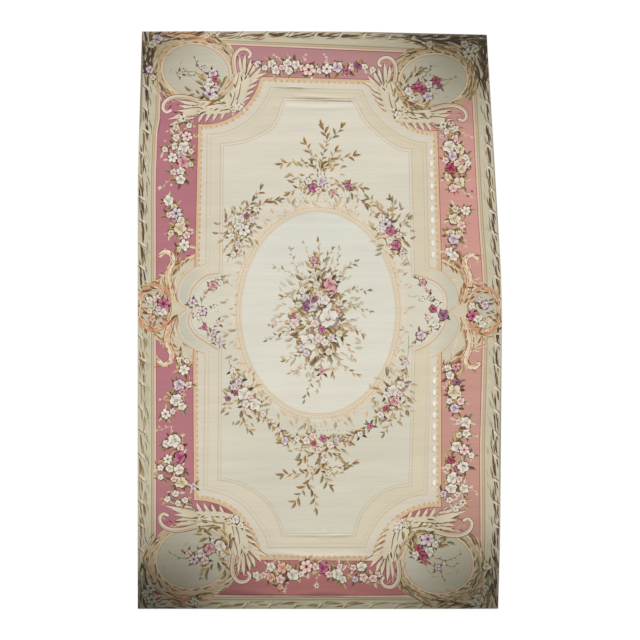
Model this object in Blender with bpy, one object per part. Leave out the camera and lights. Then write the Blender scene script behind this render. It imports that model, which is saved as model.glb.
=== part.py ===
import math

import bmesh
import bpy

# A large flat-woven tapestry rug that lies face up: one sheet of wool and cotton with turned edges.
# Metres, +Z up. +Y runs along the rug to its far end. The origin is the middle of the underside.

CLOTH_THICKNESS = 0.003
RUG_COLOUR = (0.66, 0.57, 0.43, 1.0)
RUG_ROUGHNESS = 0.92

# The long edges, from the near end to the far end. They bow outwards, and the left one steps in at a seam.
LONG_EDGES = (
    # y, left edge x, right edge x
    (-2.835, -1.730, 1.715),
    (-2.560, -1.734, 1.720),
    (-2.190, -1.741, 1.744),
    (-1.330, -1.752, 1.747),
    (-0.880, -1.759, 1.763),
    (-0.420, -1.767, 1.781),
    (0.000, -1.774, 1.795),
    (0.410, -1.780, 1.791),
    (0.890, -1.787, 1.760),
    (1.360, -1.795, 1.738),
    (1.835, -1.783, 1.722),
    (1.860, -1.762, 1.720),
    (2.450, -1.759, 1.695),
    (2.835, -1.775, 1.684),
)

# The two ends, from the left edge to the right one, as shares of the width.
SHORT_ENDS = (
    # share of the width, near end y, far end y
    (0.00, -2.835, 2.832),
    (0.20, -2.833, 2.835),
    (0.45, -2.835, 2.834),
    (0.62, -2.832, 2.830),
    (0.74, -2.834, 2.803),
    (0.90, -2.835, 2.798),
    (1.00, -2.833, 2.800),
)

# Ridges where the cloth stands off the floor, each along a gently waving line.
FOLDS = (
    # start x, start y, end x, end y, height, half width, sway, waves
    (-0.330, 2.250, -0.130, 2.244, 0.007, 0.030, 0.003, 0.5),
    (-0.270, 2.160, 0.350, 2.140, 0.013, 0.034, 0.008, 1.0),
    (-0.520, 2.060, 0.480, 2.048, 0.006, 0.036, 0.006, 1.5),
    (-0.060, -2.160, 0.360, -2.132, 0.007, 0.030, 0.004, 1.0),
    (-0.560, -2.318, 0.520, -2.352, 0.012, 0.040, 0.012, 1.5),
    (-0.960, -2.675, 0.700, -2.708, 0.014, 0.042, 0.018, 2.0),
)

# A short sharp tuck at the right end of the longest far fold.
TUCK_X, TUCK_Y = 0.306, 2.128
TUCK_HEIGHT, TUCK_HALF_LENGTH, TUCK_HALF_WIDTH = 0.009, 0.055, 0.020

# Where the sheet needs its rows and columns close together, and how far apart they are.
ROW_BANDS = (
    # from y, to y, step
    (-2.835, -2.770, 0.065),
    (-2.770, -2.610, 0.0145),
    (-2.610, -2.410, 0.100),
    (-2.410, -2.270, 0.0156),
    (-2.270, -2.200, 0.070),
    (-2.200, -2.100, 0.0167),
    (-2.100, 1.835, 0.232),
    (1.835, 1.860, 0.025),
    (1.860, 2.000, 0.140),
    (2.000, 2.220, 0.0147),
    (2.220, 2.285, 0.0163),
    (2.285, 2.835, 0.184),
)
COLUMN_BANDS = (
    # from share, to share, step
    (0.00, 0.20, 0.050),
    (0.20, 0.56, 0.030),
    (0.56, 0.61, 0.010),
    (0.61, 0.73, 0.030),
    (0.73, 1.00, 0.054),
)


def clear_scene():
    for item in list(bpy.data.objects):
        bpy.data.objects.remove(item)


def read_table(table, at, column):
    """The value of one column where the table's first column is `at`, on straight lines between rows."""
    for low, high in zip(table, table[1:]):
        if at <= high[0]:
            share = max(0.0, (at - low[0]) / (high[0] - low[0]))
            return low[column] + share * (high[column] - low[column])
    return table[-1][column]


def stations(bands):
    """Positions through the bands in turn, each band cut into equal steps close to its own."""
    places = [bands[0][0]]
    for start, stop, step in bands:
        count = max(1, round((stop - start) / step))
        places += [start + (stop - start) * k / count for k in range(1, count + 1)]
    return places


def hump(distance, half_width):
    """A rounded ridge: 1 on its line and 0 from half_width outwards."""
    if abs(distance) >= half_width:
        return 0.0
    return 0.5 + 0.5 * math.cos(math.pi * distance / half_width)


def fold_lift(x, y, fold):
    start_x, start_y, end_x, end_y, height, half_width, sway, waves = fold
    along = (x - start_x) / (end_x - start_x)
    if not 0.0 < along < 1.0:
        return 0.0
    middle = start_y + (end_y - start_y) * along + sway * math.sin(2 * math.pi * waves * along)
    fade = math.sin(math.pi * along) ** 0.7
    return height * fade * hump(y - middle, half_width)


def tuck_lift(x, y):
    """A tuck shaped like a low gable, which bends away on both sides of its middle."""
    across = (x - TUCK_X) / TUCK_HALF_LENGTH
    bend = TUCK_Y - 0.35 * TUCK_HALF_WIDTH * abs(across)
    return TUCK_HEIGHT * hump(across, 1.0) * hump(y - bend, TUCK_HALF_WIDTH)


def lift(x, y):
    """How far the underside stands off the floor."""
    highest = max(fold_lift(x, y, fold) for fold in FOLDS)
    return max(highest, tuck_lift(x, y))


def sheet_point(share, row_y):
    """A point of the underside, at this share of the width on the row that crosses the middle at row_y."""
    half_length = LONG_EDGES[-1][0]
    up = 0.5 + 0.5 * row_y / half_length
    near = read_table(SHORT_ENDS, share, 1)
    far = read_table(SHORT_ENDS, share, 2)
    y = row_y + (1.0 - up) * (near + half_length) + up * (far - half_length)
    left = read_table(LONG_EDGES, row_y, 1)
    right = read_table(LONG_EDGES, row_y, 2)
    x = left + share * (right - left)
    return (x, y, lift(x, y))


def make_material():
    material = bpy.data.materials.new("tapestry_weave")
    material.use_nodes = True
    shader = material.node_tree.nodes["Principled BSDF"]
    shader.inputs["Base Color"].default_value = RUG_COLOUR
    shader.inputs["Roughness"].default_value = RUG_ROUGHNESS
    shader.inputs["Metallic"].default_value = 0.0
    return material


def make_rug():
    """The underside as a grid that follows the outline and the folds, thickened upwards into the cloth."""
    rows = stations(ROW_BANDS)
    shares = stations(COLUMN_BANDS)
    grid = bmesh.new()
    points = [[grid.verts.new(sheet_point(share, y)) for share in shares] for y in rows]
    for low, high in zip(points, points[1:]):
        for k in range(len(shares) - 1):
            grid.faces.new((low[k], low[k + 1], high[k + 1], high[k]))
    mesh = bpy.data.meshes.new("rug")
    grid.to_mesh(mesh)
    grid.free()
    mesh.shade_smooth()
    mesh.set_sharp_from_angle(angle=math.radians(40))

    rug = bpy.data.objects.new("rug", mesh)
    bpy.context.scene.collection.objects.link(rug)
    rug.data.materials.append(make_material())
    thicken = rug.modifiers.new("cloth", "SOLIDIFY")
    thicken.thickness = CLOTH_THICKNESS
    thicken.offset = 1.0
    return rug


clear_scene()
make_rug()
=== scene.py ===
import math
import random

import bpy
import numpy as np
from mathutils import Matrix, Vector
from mathutils.geometry import delaunay_2d_cdt


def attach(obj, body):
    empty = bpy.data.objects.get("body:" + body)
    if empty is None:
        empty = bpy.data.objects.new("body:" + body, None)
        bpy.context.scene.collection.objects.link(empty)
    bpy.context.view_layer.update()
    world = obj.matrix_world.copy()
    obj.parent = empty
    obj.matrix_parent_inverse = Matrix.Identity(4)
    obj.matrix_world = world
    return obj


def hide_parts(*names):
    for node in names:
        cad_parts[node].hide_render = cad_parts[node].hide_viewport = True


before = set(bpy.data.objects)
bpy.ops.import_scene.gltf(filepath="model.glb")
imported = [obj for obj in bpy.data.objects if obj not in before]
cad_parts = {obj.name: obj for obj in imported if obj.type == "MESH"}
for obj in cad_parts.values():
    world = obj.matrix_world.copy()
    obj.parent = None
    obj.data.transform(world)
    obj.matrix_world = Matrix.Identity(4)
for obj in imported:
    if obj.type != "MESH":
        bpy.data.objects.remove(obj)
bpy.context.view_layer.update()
print("frame loaded:", sorted(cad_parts))

# Camera: high above the rug and a little towards its near end, as the picture was taken
cameraSettings = {
    "distance": 8.0,  # metres from the middle of the rug
    "lean": 0.068,  # sine of the angle off straight down
    "lens": 45.9,
    "shiftX": 0.0019,
    "shiftY": -0.0109,
}


def makeCamera(settings):
    data = bpy.data.cameras.new("camera")
    data.lens = settings["lens"]
    data.shift_x = settings["shiftX"]
    data.shift_y = settings["shiftY"]
    camera = bpy.data.objects.new("camera", data)
    lean = math.asin(settings["lean"])
    back = settings["distance"]
    camera.location = (0, -back * math.sin(lean), back * math.cos(lean))
    camera.rotation_euler = (lean, 0, 0)
    bpy.context.scene.collection.objects.link(camera)
    bpy.context.scene.camera = camera


makeCamera(cameraSettings)

# The sheet: its outline and ripples are those of the frame's solid
sheetShape = {
    "thickness": 0.003,
    "flatSize": (3.59, 5.67),
    "flatArea": 20.1,
    "longEdges": (  # y, left edge x, right edge x
        (-2.835, -1.73, 1.715), (-2.56, -1.734, 1.72), (-2.19, -1.741, 1.744),
        (-1.33, -1.752, 1.747), (-0.88, -1.759, 1.763), (-0.42, -1.767, 1.781),
        (0.0, -1.774, 1.795), (0.41, -1.78, 1.791), (0.89, -1.787, 1.76),
        (1.36, -1.795, 1.738), (1.835, -1.783, 1.722), (1.86, -1.762, 1.72),
        (2.45, -1.759, 1.695), (2.835, -1.775, 1.684),
    ),
    "shortEnds": (  # share of the width, near end y, far end y
        (0.0, -2.835, 2.832), (0.2, -2.833, 2.835), (0.45, -2.835, 2.834),
        (0.62, -2.832, 2.83), (0.74, -2.834, 2.803), (0.9, -2.835, 2.798),
        (1.0, -2.833, 2.8),
    ),
    "folds": (  # start x, start y, end x, end y, height, half width, sway, waves
        (-0.33, 2.25, -0.13, 2.244, 0.007, 0.03, 0.003, 0.5),
        (-0.27, 2.16, 0.35, 2.14, 0.013, 0.034, 0.008, 1.0),
        (-0.52, 2.06, 0.48, 2.048, 0.006, 0.036, 0.006, 1.5),
        (-0.06, -2.16, 0.36, -2.132, 0.007, 0.03, 0.004, 1.0),
        (-0.56, -2.318, 0.52, -2.352, 0.012, 0.04, 0.012, 1.5),
        (-0.96, -2.675, 0.7, -2.708, 0.014, 0.042, 0.018, 2.0),
    ),
    "tuck": (0.306, 2.128, 0.009, 0.055, 0.02),  # x, y, height, half length, half width
    "ripple": 0.0006,  # slight unevenness of the face
    "gridStep": 0.07,
    "foldStep": 0.014,
    "undersideStep": 0.16,
    "rimBulge": 0.0008,
}


def tableValue(table, at, column):
    return np.interp(at, [row[0] for row in table], [row[column] for row in table])


def leftEdge(y):
    return float(tableValue(sheetShape["longEdges"], y, 1))


def rightEdge(y):
    return float(tableValue(sheetShape["longEdges"], y, 2))


def nearEnd(share):
    return float(tableValue(sheetShape["shortEnds"], share, 1))


def farEnd(share):
    return float(tableValue(sheetShape["shortEnds"], share, 2))


def hump(distance, halfWidth):
    rounded = 0.5 + 0.5 * np.cos(math.pi * distance / halfWidth)
    return np.where(np.abs(distance) < halfWidth, rounded, 0.0)


def sheetLift(x, y):
    highest = np.zeros_like(x)
    for startX, startY, endX, endY, height, halfWidth, sway, waves in sheetShape["folds"]:
        along = (x - startX) / (endX - startX)
        inside = (along > 0) & (along < 1)
        along = np.clip(along, 0, 1)
        middle = startY + (endY - startY) * along + sway * np.sin(2 * math.pi * waves * along)
        ridge = height * np.sin(math.pi * along) ** 0.7 * hump(y - middle, halfWidth)
        highest = np.maximum(highest, np.where(inside, ridge, 0))
    tuckX, tuckY, height, halfLength, halfWidth = sheetShape["tuck"]
    across = (x - tuckX) / halfLength
    bend = tuckY - 0.35 * halfWidth * np.abs(across)
    return np.maximum(highest, height * hump(across, 1.0) * hump(y - bend, halfWidth))


# Dyed wools, sRGB 0 to 255 as they look now: lit side, middle, shaded side
wools = {
    "white": ((236, 231, 217), (214, 203, 186), (160, 138, 122)),
    "blush": ((236, 220, 206), (216, 180, 168), (166, 106, 104)),
    "lilac": ((226, 214, 212), (194, 170, 180), (128, 94, 112)),
    "cream": ((229, 217, 190), (210, 190, 156), (154, 126, 92)),
    "rose": ((222, 182, 174), (196, 128, 132), (136, 58, 76)),
    "magenta": ((204, 126, 150), (168, 68, 104), (100, 28, 60)),
    "purple": ((172, 116, 142), (116, 54, 88), (62, 22, 46)),
    "crimson": ((188, 98, 114), (144, 44, 70), (84, 22, 42)),
    "salmon": ((230, 194, 170), (211, 156, 134), (164, 98, 80)),
    "gold": ((212, 188, 134), (180, 148, 94), (122, 92, 52)),
    "ochre": ((190, 154, 98), (148, 112, 66), (98, 68, 38)),
    "olive": ((172, 162, 120), (134, 124, 84), (84, 76, 50)),
    "brown": ((152, 116, 80), (112, 82, 54), (68, 48, 34)),
    "dark": ((92, 72, 57), (64, 49, 40), (40, 31, 28)),
    "terracotta": ((206, 150, 116), (176, 110, 80), (122, 68, 52)),
    "tan": ((214, 192, 157), (190, 164, 126), (148, 118, 84)),
    "sage": ((208, 204, 184), (184, 177, 153), (132, 126, 102)),
    "peach": ((226, 192, 154), (211, 170, 130), (178, 130, 94)),
    "scroll": ((226, 217, 193), (203, 190, 162), (140, 122, 92)),
}

# Plain grounds, named for where they lie
grounds = {
    "outerBand": (196, 187, 163),
    "creamLine": (217, 192, 172),
    "tanLine": (190, 162, 125),
    "oliveLine": (168, 154, 122),
    "orangeLine": (211, 172, 136),
    "brownLine": (164, 124, 88),
    "crimsonLine": (140, 84, 82),
    "orangeBand": (214, 182, 146),
    "whiteBand": (214, 205, 186),
    "creamBand": (214, 205, 183),
    "creamBandRight": (213, 201, 175),
    "faintTan": (202, 184, 156),
    "greyLine": (192, 186, 166),
    "fieldTop": (219, 212, 195),
    "fieldLow": (209, 203, 185),
    "ovalTop": (217, 215, 202),
    "ovalLow": (221, 216, 200),
    "ovalLine": (204, 182, 150),
    "ovalBand": (219, 207, 183),
    "lobe": (197, 193, 174),
    "surround": (205, 195, 170),
    "medallion": (197, 191, 173),
    "pinkLeft": (178, 114, 124),
    "pinkLeftLow": (178, 116, 124),
    "pinkRight": (204, 150, 140),
    "pinkRightLow": (192, 145, 132),
    "pinkTop": (182, 130, 134),
    "pinkTopRight": (184, 142, 134),
    "pinkNear": (176, 112, 110),
    "pinkNearLeft": (150, 90, 94),
    "backTint": (176, 160, 134),
}

# How far a region's flowers have faded towards the ground behind them
fading = {"share": 0.0, "ground": grounds["fieldTop"]}
chance = random.Random(1871)


def mix(first, second, share):
    return tuple(a + (b - a) * share for a, b in zip(first, second))


def tones(wool):
    return tuple(mix(tone, fading["ground"], fading["share"]) for tone in wools[wool])


def plain(colour):
    return (0, 0, 0, 0, 0, *colour, *colour)


def shaded(start, end, first, last):
    return (1, *start, *end, *first, *last)


def rounded(centre, radius, inner, outer):
    return (2, *centre, radius, 0, *inner, *outer)


def crossesItself(ring):
    x, y = np.array([(spot.x, spot.y) for spot in ring]).T
    count = len(x)
    endX, endY = np.roll(x, -1), np.roll(y, -1)
    runX, runY = endX - x, endY - y

    def sideOf(otherX, otherY):
        # Which side of each edge (row) a corner (column) lies on
        return runX[:, None] * (otherY[None] - y[:, None]) - runY[:, None] * (otherX[None] - x[:, None])

    across = sideOf(x, y) * sideOf(endX, endY) < -1e-16
    gap = np.abs(np.arange(count)[:, None] - np.arange(count)[None])
    near = (gap <= 1) | (gap == count - 1)
    return bool((across & across.T & ~near).any())


class Cartoon:
    # The weaver's full-size drawing: shapes laid one over another, each in its own wool
    def __init__(self, fineness=2000):
        self.fineness = fineness  # corners are placed to 1 / fineness of a metre
        self.slack = 0.0003  # how far a border may move where corners are left out
        self.corners = []
        self.known = {}
        self.shapes = []
        self.dyes = []
        self.areas = []
        self.dropped = 0

    def corner(self, x, y):
        key = (round(x * self.fineness), round(y * self.fineness))
        if key not in self.known:
            self.known[key] = len(self.corners)
            self.corners.append(Vector((key[0] / self.fineness, key[1] / self.fineness)))
        return self.known[key]

    def lay(self, outline, dye):
        ring = []
        for x, y in outline:
            spot = self.corner(x, y)
            if spot not in ring:
                ring.append(spot)
        if len(ring) < 3:
            return
        ends = [self.corners[spot] for spot in ring]
        area = sum(a.x * b.y - b.x * a.y for a, b in zip(ends, ends[1:] + ends[:1]))
        if abs(area) < 2e-6 or crossesItself(ends):
            self.dropped += 1
            return
        self.shapes.append(ring if area > 0 else ring[::-1])
        self.areas.append(abs(area) / 2)
        self.dyes.append(dye)

    def cut(self, loose):
        # Every shape's edges cut the whole sheet into triangles, and the last shape laid over each one
        # owns it
        corners = self.corners + [Vector(spot) for spot in loose]
        spots, _, faces, origins, _, owners = delaunay_2d_cdt(corners, [], self.shapes, 1, 1e-6, True)
        spots = np.array([(spot.x, spot.y) for spot in spots])
        triangles = np.array(faces)
        held = np.repeat(np.arange(len(faces)), [len(found) for found in owners])
        shape = np.concatenate(owners).astype(int)
        (ax, ay), (bx, by), (cx, cy) = (spots[triangles[:, k]].T for k in range(3))
        areas = np.abs((bx - ax) * (cy - ay) - (cx - ax) * (by - ay)) / 2
        # A shape that spills over more than its own area is left out
        spread = np.bincount(shape, areas[held], len(self.shapes))
        sound = spread < 1.02 * np.array(self.areas) + 1e-5
        print("shapes that spilled:", int((~sound).sum()))
        owner = np.full(len(faces), -1)
        good = sound[shape]
        np.maximum.at(owner, held[good], shape[good])
        inside = np.zeros(len(faces), bool)
        inside[held[shape == 0]] = True
        return spots, triangles[inside], owner[inside], origins

    def thinOut(self, spots, triangles, owner, loose):
        # Leaves out the corners that later shapes cover or that a straight border doesn't need
        places = spots.tolist()
        sides = {}
        for (a, b, c), held in zip(triangles.tolist(), owner.tolist()):
            sides[a, b] = sides[b, c] = sides[c, a] = held
        near = {}  # for each border corner, the next corners and the shape to the left on the way there
        for (a, b), held in sides.items():
            other = sides.get((b, a), -2)
            if other != held:
                near.setdefault(a, {})[b] = held
                near.setdefault(b, {})[a] = other
        for spot in list(near):
            if len(near[spot]) == 2:
                a, b = near[spot]
                (ax, ay), (bx, by), (x, y) = places[a], places[b], places[spot]
                off = abs((bx - ax) * (y - ay) - (by - ay) * (x - ax))
                if b not in near[a] and off < self.slack * math.hypot(bx - ax, by - ay):
                    near[a][b], near[b][a] = near[spot][b], near[spot][a]
                    del near[a][spot], near[b][spot], near[spot]

        # What is left is cut anew, and each triangle gets its shape from the border it touches or a neighbour
        order = {spot: k for k, spot in enumerate(near)}
        borders = [(a, b) for a in near for b in near[a] if a < b]
        corners = [Vector(places[spot]) for spot in near] + [Vector(spot) for spot in loose]
        pairs = [(order[a], order[b]) for a, b in borders]
        spots, lines, faces, _, sources, _ = delaunay_2d_cdt(corners, pairs, [], 1, 1e-6, True)
        held = {}
        for (u, v), found in zip(lines, sources):
            if found:
                a, b = borders[found[0]]
                if (spots[v] - spots[u]).dot(Vector(places[b]) - Vector(places[a])) < 0:
                    a, b = b, a
                held[u, v], held[v, u] = near[a][b], near[b][a]
        across, owner = {}, [None] * len(faces)
        for k, (a, b, c) in enumerate(faces):
            for edge in ((a, b), (b, c), (c, a)):
                across[edge[::-1]] = k
                owner[k] = held.get(edge, owner[k])
        waiting = [k for k, found in enumerate(owner) if found is not None]
        while waiting:
            k = waiting.pop()
            a, b, c = faces[k]
            for edge in ((a, b), (b, c), (c, a)):
                beyond = across.get(edge)
                if edge not in held and beyond is not None and owner[beyond] is None:
                    owner[beyond] = owner[k]
                    waiting.append(beyond)
        used, triangles = np.unique(np.array(faces), return_inverse=True)
        return np.array([tuple(spot) for spot in spots])[used], triangles.reshape(-1, 3), np.array(owner)

    def dyeCorners(self, spots, triangles, owner):
        table = np.array(self.dyes)[owner][:, None, :]
        x, y = spots[triangles, 0], spots[triangles, 1]
        kind, startX, startY, endX, endY = (table[..., k] for k in range(5))
        runX, runY = endX - startX, endY - startY
        reach = np.maximum(runX ** 2 + runY ** 2, 1e-9)
        straight = ((x - startX) * runX + (y - startY) * runY) / reach
        around = np.hypot(x - startX, y - startY) / np.maximum(endX, 1e-6)
        share = np.where(kind == 1, straight, np.where(kind == 2, around, 0)).clip(0, 1)[..., None]
        return table[..., 5:8] * (1 - share) + table[..., 8:11] * share


face = Cartoon()
back = Cartoon(1000000)


# Curves and outlines
def smooth(points, steps=4, closed=False):
    # A curve through given points.
    points = [tuple(point) for point in points]
    if len(points) < 3:
        return points
    count = len(points)
    spans = count if closed else count - 1
    curve = []
    for k in range(spans):
        if closed:
            a, b, c, d = (points[(k + n) % count] for n in (-1, 0, 1, 2))
        else:
            a, b = points[max(k - 1, 0)], points[k]
            c, d = points[k + 1], points[min(k + 2, count - 1)]
        for n in range(steps):
            t = n / steps
            curve.append(tuple(
                0.5 * (2 * b[i] + (c[i] - a[i]) * t + (2 * a[i] - 5 * b[i] + 4 * c[i] - d[i]) * t ** 2
                       + (3 * b[i] - a[i] - 3 * c[i] + d[i]) * t ** 3)
                for i in (0, 1)))
    if not closed:
        curve.append(points[-1])
    return curve


def arc(x, y, radiusX, radiusY, start, stop, count):
    angles = [math.radians(start + (stop - start) * k / count) for k in range(count + 1)]
    return [(x + radiusX * math.cos(a), y + radiusY * math.sin(a)) for a in angles]


def oval(x, y, radiusX, radiusY, count=72, tilt=0.0):
    turn = math.radians(tilt)
    outline = []
    for a, b in arc(0, 0, radiusX, radiusY, 0, 360 * (1 - 1 / count), count - 1):
        outline.append((x + a * math.cos(turn) - b * math.sin(turn),
            y + a * math.sin(turn) + b * math.cos(turn)))
    return outline


def step(point, degrees, distance):
    angle = math.radians(degrees)
    return (point[0] + distance * math.cos(angle), point[1] + distance * math.sin(angle))


def heading(first, second):
    return math.degrees(math.atan2(second[1] - first[1], second[0] - first[0]))


def inset(path, distance):
    # A closed path moved inwards, for one that runs anticlockwise.
    moved = []
    count = len(path)
    for k in range(count):
        before, here, after = path[k - 1], path[k], path[(k + 1) % count]
        inX, inY = here[0] - before[0], here[1] - before[1]
        outX, outY = after[0] - here[0], after[1] - here[1]
        inLong, outLong = math.hypot(inX, inY) or 1e-9, math.hypot(outX, outY) or 1e-9
        normalX, normalY = -inY / inLong - outY / outLong, inX / inLong + outX / outLong
        size = math.hypot(normalX, normalY) or 1e-9
        mitre = min(2.0 / size, 1.6)
        moved.append((here[0] + normalX / size * distance * mitre,
            here[1] + normalY / size * distance * mitre))
    # Spots that came too near another part of the path are left out, or the new path would cross itself
    start = np.array(path)
    run = np.roll(start, -1, axis=0) - start
    spots = np.array(moved)[:, None]
    share = ((spots - start) * run).sum(axis=2) / np.maximum((run ** 2).sum(axis=1), 1e-12)
    gaps = np.linalg.norm(spots - start - share.clip(0, 1)[..., None] * run, axis=2).min(axis=1)
    return [spot for spot, gap in zip(moved, gaps) if gap > abs(distance) * 0.97]


def stations(path, count, start=0.0, stop=1.0):
    # Evenly spaced points along an open path, each with its heading.
    lengths = [0.0]
    for a, b in zip(path, path[1:]):
        lengths.append(lengths[-1] + math.hypot(b[0] - a[0], b[1] - a[1]))
    found = []
    for k in range(count):
        share = start + (stop - start) * (k / (count - 1) if count > 1 else 0.5)
        target = share * lengths[-1]
        n = min(max(int(np.searchsorted(lengths, target)) - 1, 0), len(path) - 2)
        part = (target - lengths[n]) / max(lengths[n + 1] - lengths[n], 1e-9)
        point = mix(path[n], path[n + 1], part)
        found.append((point, heading(path[n], path[n + 1])))
    return found


def pathLength(path):
    return sum(math.hypot(b[0] - a[0], b[1] - a[1]) for a, b in zip(path, path[1:]))


def strip(path, width, taper=1.0, offset=0.0):
    # The outline of a band along an open path. width is at its start, and taper is the share left at its end.
    left, right = [], []
    count = len(path)
    for k, here in enumerate(path):
        before, after = path[max(k - 1, 0)], path[min(k + 1, count - 1)]
        turn = heading(before, after)
        half = width / 2 * (1 + (taper - 1) * k / (count - 1))
        left.append(step(here, turn + 90, offset + half))
        right.append(step(here, turn + 90, offset - half))
    return left + right[::-1]


# Small woven motifs
petalShape = ((0.04, 0.0), (0.5, -0.46), (0.92, -0.34), (1.0, 0.05), (0.86, 0.4), (0.44, 0.46))


def disc(x, y, radius, colour, outer=None):
    count = 5 if radius < 0.016 else 8
    first = chance.uniform(0, 360)
    outline = [step((x, y), first + 360 * k / count, radius * chance.uniform(0.9, 1.1)) for k in range(count)]
    face.lay(outline, rounded((x, y), radius, colour, outer) if outer else plain(colour))


def petal(x, y, turn, reach, spread, inner, outer):
    outline = [step(step((x, y), turn, u * reach), turn + 90, v * spread) for u, v in petalShape]
    face.lay(outline, shaded((x, y), step((x, y), turn, reach), inner, outer))


def crescent(x, y, radius, turn, colour, spread=150, thick=0.35):
    outside = arc(x, y, radius, radius, turn - spread / 2, turn + spread / 2, 4)
    shiftX, shiftY = step((x, y), turn, -radius * thick)
    inside = arc(shiftX, shiftY, radius, radius, turn + spread / 2 - 25, turn - spread / 2 + 25, 2)
    face.lay(outside + inside, plain(colour))


def leaf(x, y, length, turn, wool, width=0.34, bend=0.12, split=True):
    # From its base at x, y. One half is darker than the other.
    lit, middle, deep = tones(wool)
    left, right = [], []
    for share, half in ((0.3, 0.8), (0.66, 0.85)) if length > 0.07 else ((0.45, 1.0),):
        spine = step(step((x, y), turn, share * length), turn + 90, bend * length * 2 * share * (1 - share))
        left.append(step(spine, turn + 90, half * width * length / 2))
        right.append(step(spine, turn - 90, half * width * length / 2))
    tip = step((x, y), turn, length)
    face.lay([(x, y), *right, tip, *left[::-1]], shaded((x, y), tip, middle, lit))
    if split and length > 0.055:
        vein = step(step((x, y), turn, length * 0.48), turn + 90, bend * length * 0.5)
        face.lay([(x, y), vein, tip, *left[::-1]], shaded((x, y), tip, deep, middle))


def sliver(x, y, turn, near, far, width, colour):
    # A thin dark mark that points away from x, y
    start, middle, end = (step((x, y), turn, reach) for reach in (near, (near + far) / 2, far))
    face.lay([start, step(middle, turn - 90, width / 2), end, step(middle, turn + 90, width / 2)],
        plain(colour))


def scallops(x, y, radius, count, turn, valley=0.8):
    # A round outline of petals
    outline = []
    for k in range(count):
        first = turn + 360 * k / count
        size = radius * chance.uniform(0.88, 1.12)
        for ahead, reach in ((0, radius * valley), (110 / count, size), (250 / count, size)):
            outline.append(step((x, y), first + ahead, reach))
    return outline


def darkRim(x, y, radius, count, turn, wool):
    rim = mix(tones(wool)[2], tones("brown")[2], 0.55)
    face.lay(scallops(x, y, radius * 1.15, count, turn + 16, 0.84), plain(rim))


def rose(x, y, radius, wool, heart=None):
    lit, middle, deep = tones(wool)
    turn = chance.uniform(0, 360)
    darkRim(x, y, radius, 5, turn, wool)
    face.lay(scallops(x, y, radius, 5, turn), rounded((x, y), radius, mix(middle, deep, 0.35), lit))
    if radius > 0.03:
        for k in range(3):
            angle = turn + 120 * k + chance.uniform(-15, 15)
            sliver(x, y, angle + 55, radius * 0.3, radius * 1.02, radius * 0.2, mix(middle, deep, 0.9))
            petal(x, y, angle, radius * 0.76, radius * 0.7, mix(middle, deep, 0.45), lit)
    else:
        sliver(x, y, turn, radius * 0.3, radius * 0.95, radius * 0.2, mix(middle, deep, 0.6))
    crescent(x, y, radius * 0.32, turn, tones(heart)[2] if heart else deep, 200, 0.5)


def anemone(x, y, radius, wool, heart="purple"):
    lit, middle, deep = tones(wool)
    turn = chance.uniform(0, 360)
    darkRim(x, y, radius, 6, turn, wool)
    face.lay(scallops(x, y, radius, 6, turn, 0.72), rounded((x, y), radius, middle, lit))
    for k in range(6):
        sliver(x, y, turn + 60 * k, radius * 0.25, radius * 0.85, radius * 0.14, mix(middle, deep, 0.8))
    disc(x, y, radius * 0.27, tones(heart)[2], tones(heart)[1])


def daisy(x, y, radius, wool, heart="olive"):
    lit, middle, deep = tones(wool)
    turn = chance.uniform(0, 360)
    face.lay(scallops(x, y, radius, 6, turn, 0.55), rounded((x, y), radius, mix(middle, deep, 0.35), lit))
    disc(x, y, radius * 0.32, tones(heart)[1], tones(heart)[2])


def poppy(x, y, radius, wool, heart="dark"):
    # Seen from its side
    lit, middle, deep = tones(wool)
    turn = chance.uniform(0, 360)
    baseX, baseY = step((x, y), turn, -radius * 0.7)
    darkRim(x, y, radius * 0.85, 4, turn, wool)
    for angle in (-52, 52, 0):
        petal(baseX, baseY, turn + angle, radius * 1.6, radius * 1.3, mix(middle, deep, 0.3), lit)
    crescent(x, y, radius * 0.42, turn, tones(heart)[2], 150, 0.4)


def bud(x, y, radius, wool, sepals="olive"):
    lit, middle, deep = tones(wool)
    turn = chance.uniform(0, 360)
    baseX, baseY = step((x, y), turn, -radius)
    petal(baseX, baseY, turn, radius * 2.1, radius * 1.5, deep, lit)
    for side in (-1, 1):
        leaf(baseX, baseY, radius * 1.5, turn + 34 * side, sepals, 0.3, -0.2 * side, split=False)


def leavesRound(x, y, radius, count, leafWools, size):
    # Leaves that stick out from behind a flower
    first = chance.uniform(0, 360)
    for k in range(count):
        angle = first + 360 * k / count + chance.uniform(-25, 25)
        length = radius * 0.6 + size * chance.uniform(0.6, 1.2)
        leaf(*step((x, y), angle, radius * 0.6), length, angle + chance.uniform(-25, 25),
            chance.choice(leafWools), 0.42)


def leavesAlong(points, count, leafWools, size, spread=0.0, lean=(20, 60), width=0.36, split=True):
    # Leaves by turns on either side of a path, strewn up to spread away from it
    path = smooth(points, 4)
    side = 1
    for point, along in stations(path, count, 0.04, 0.98):
        spot = step(point, along + 90 * side, chance.uniform(0, spread))
        turn = along + side * chance.uniform(*lean)
        leaf(*spot, size * chance.uniform(0.7, 1.25), turn, chance.choice(leafWools), width, -0.15 * side,
            split)
        side = -side


def sprig(points, wool, count, size, width=0.005, leafWools=None):
    # A thin stem with leaves, and one at its tip
    path = smooth(points, 4)
    face.lay(strip(path, width, 0.5), plain(tones(wool)[1]))
    leavesAlong(path[len(path) // 5:], count, leafWools or (wool,), size)
    leaf(*path[-1], size * 1.1, heading(path[-2], path[-1]), wool, 0.36)


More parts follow.
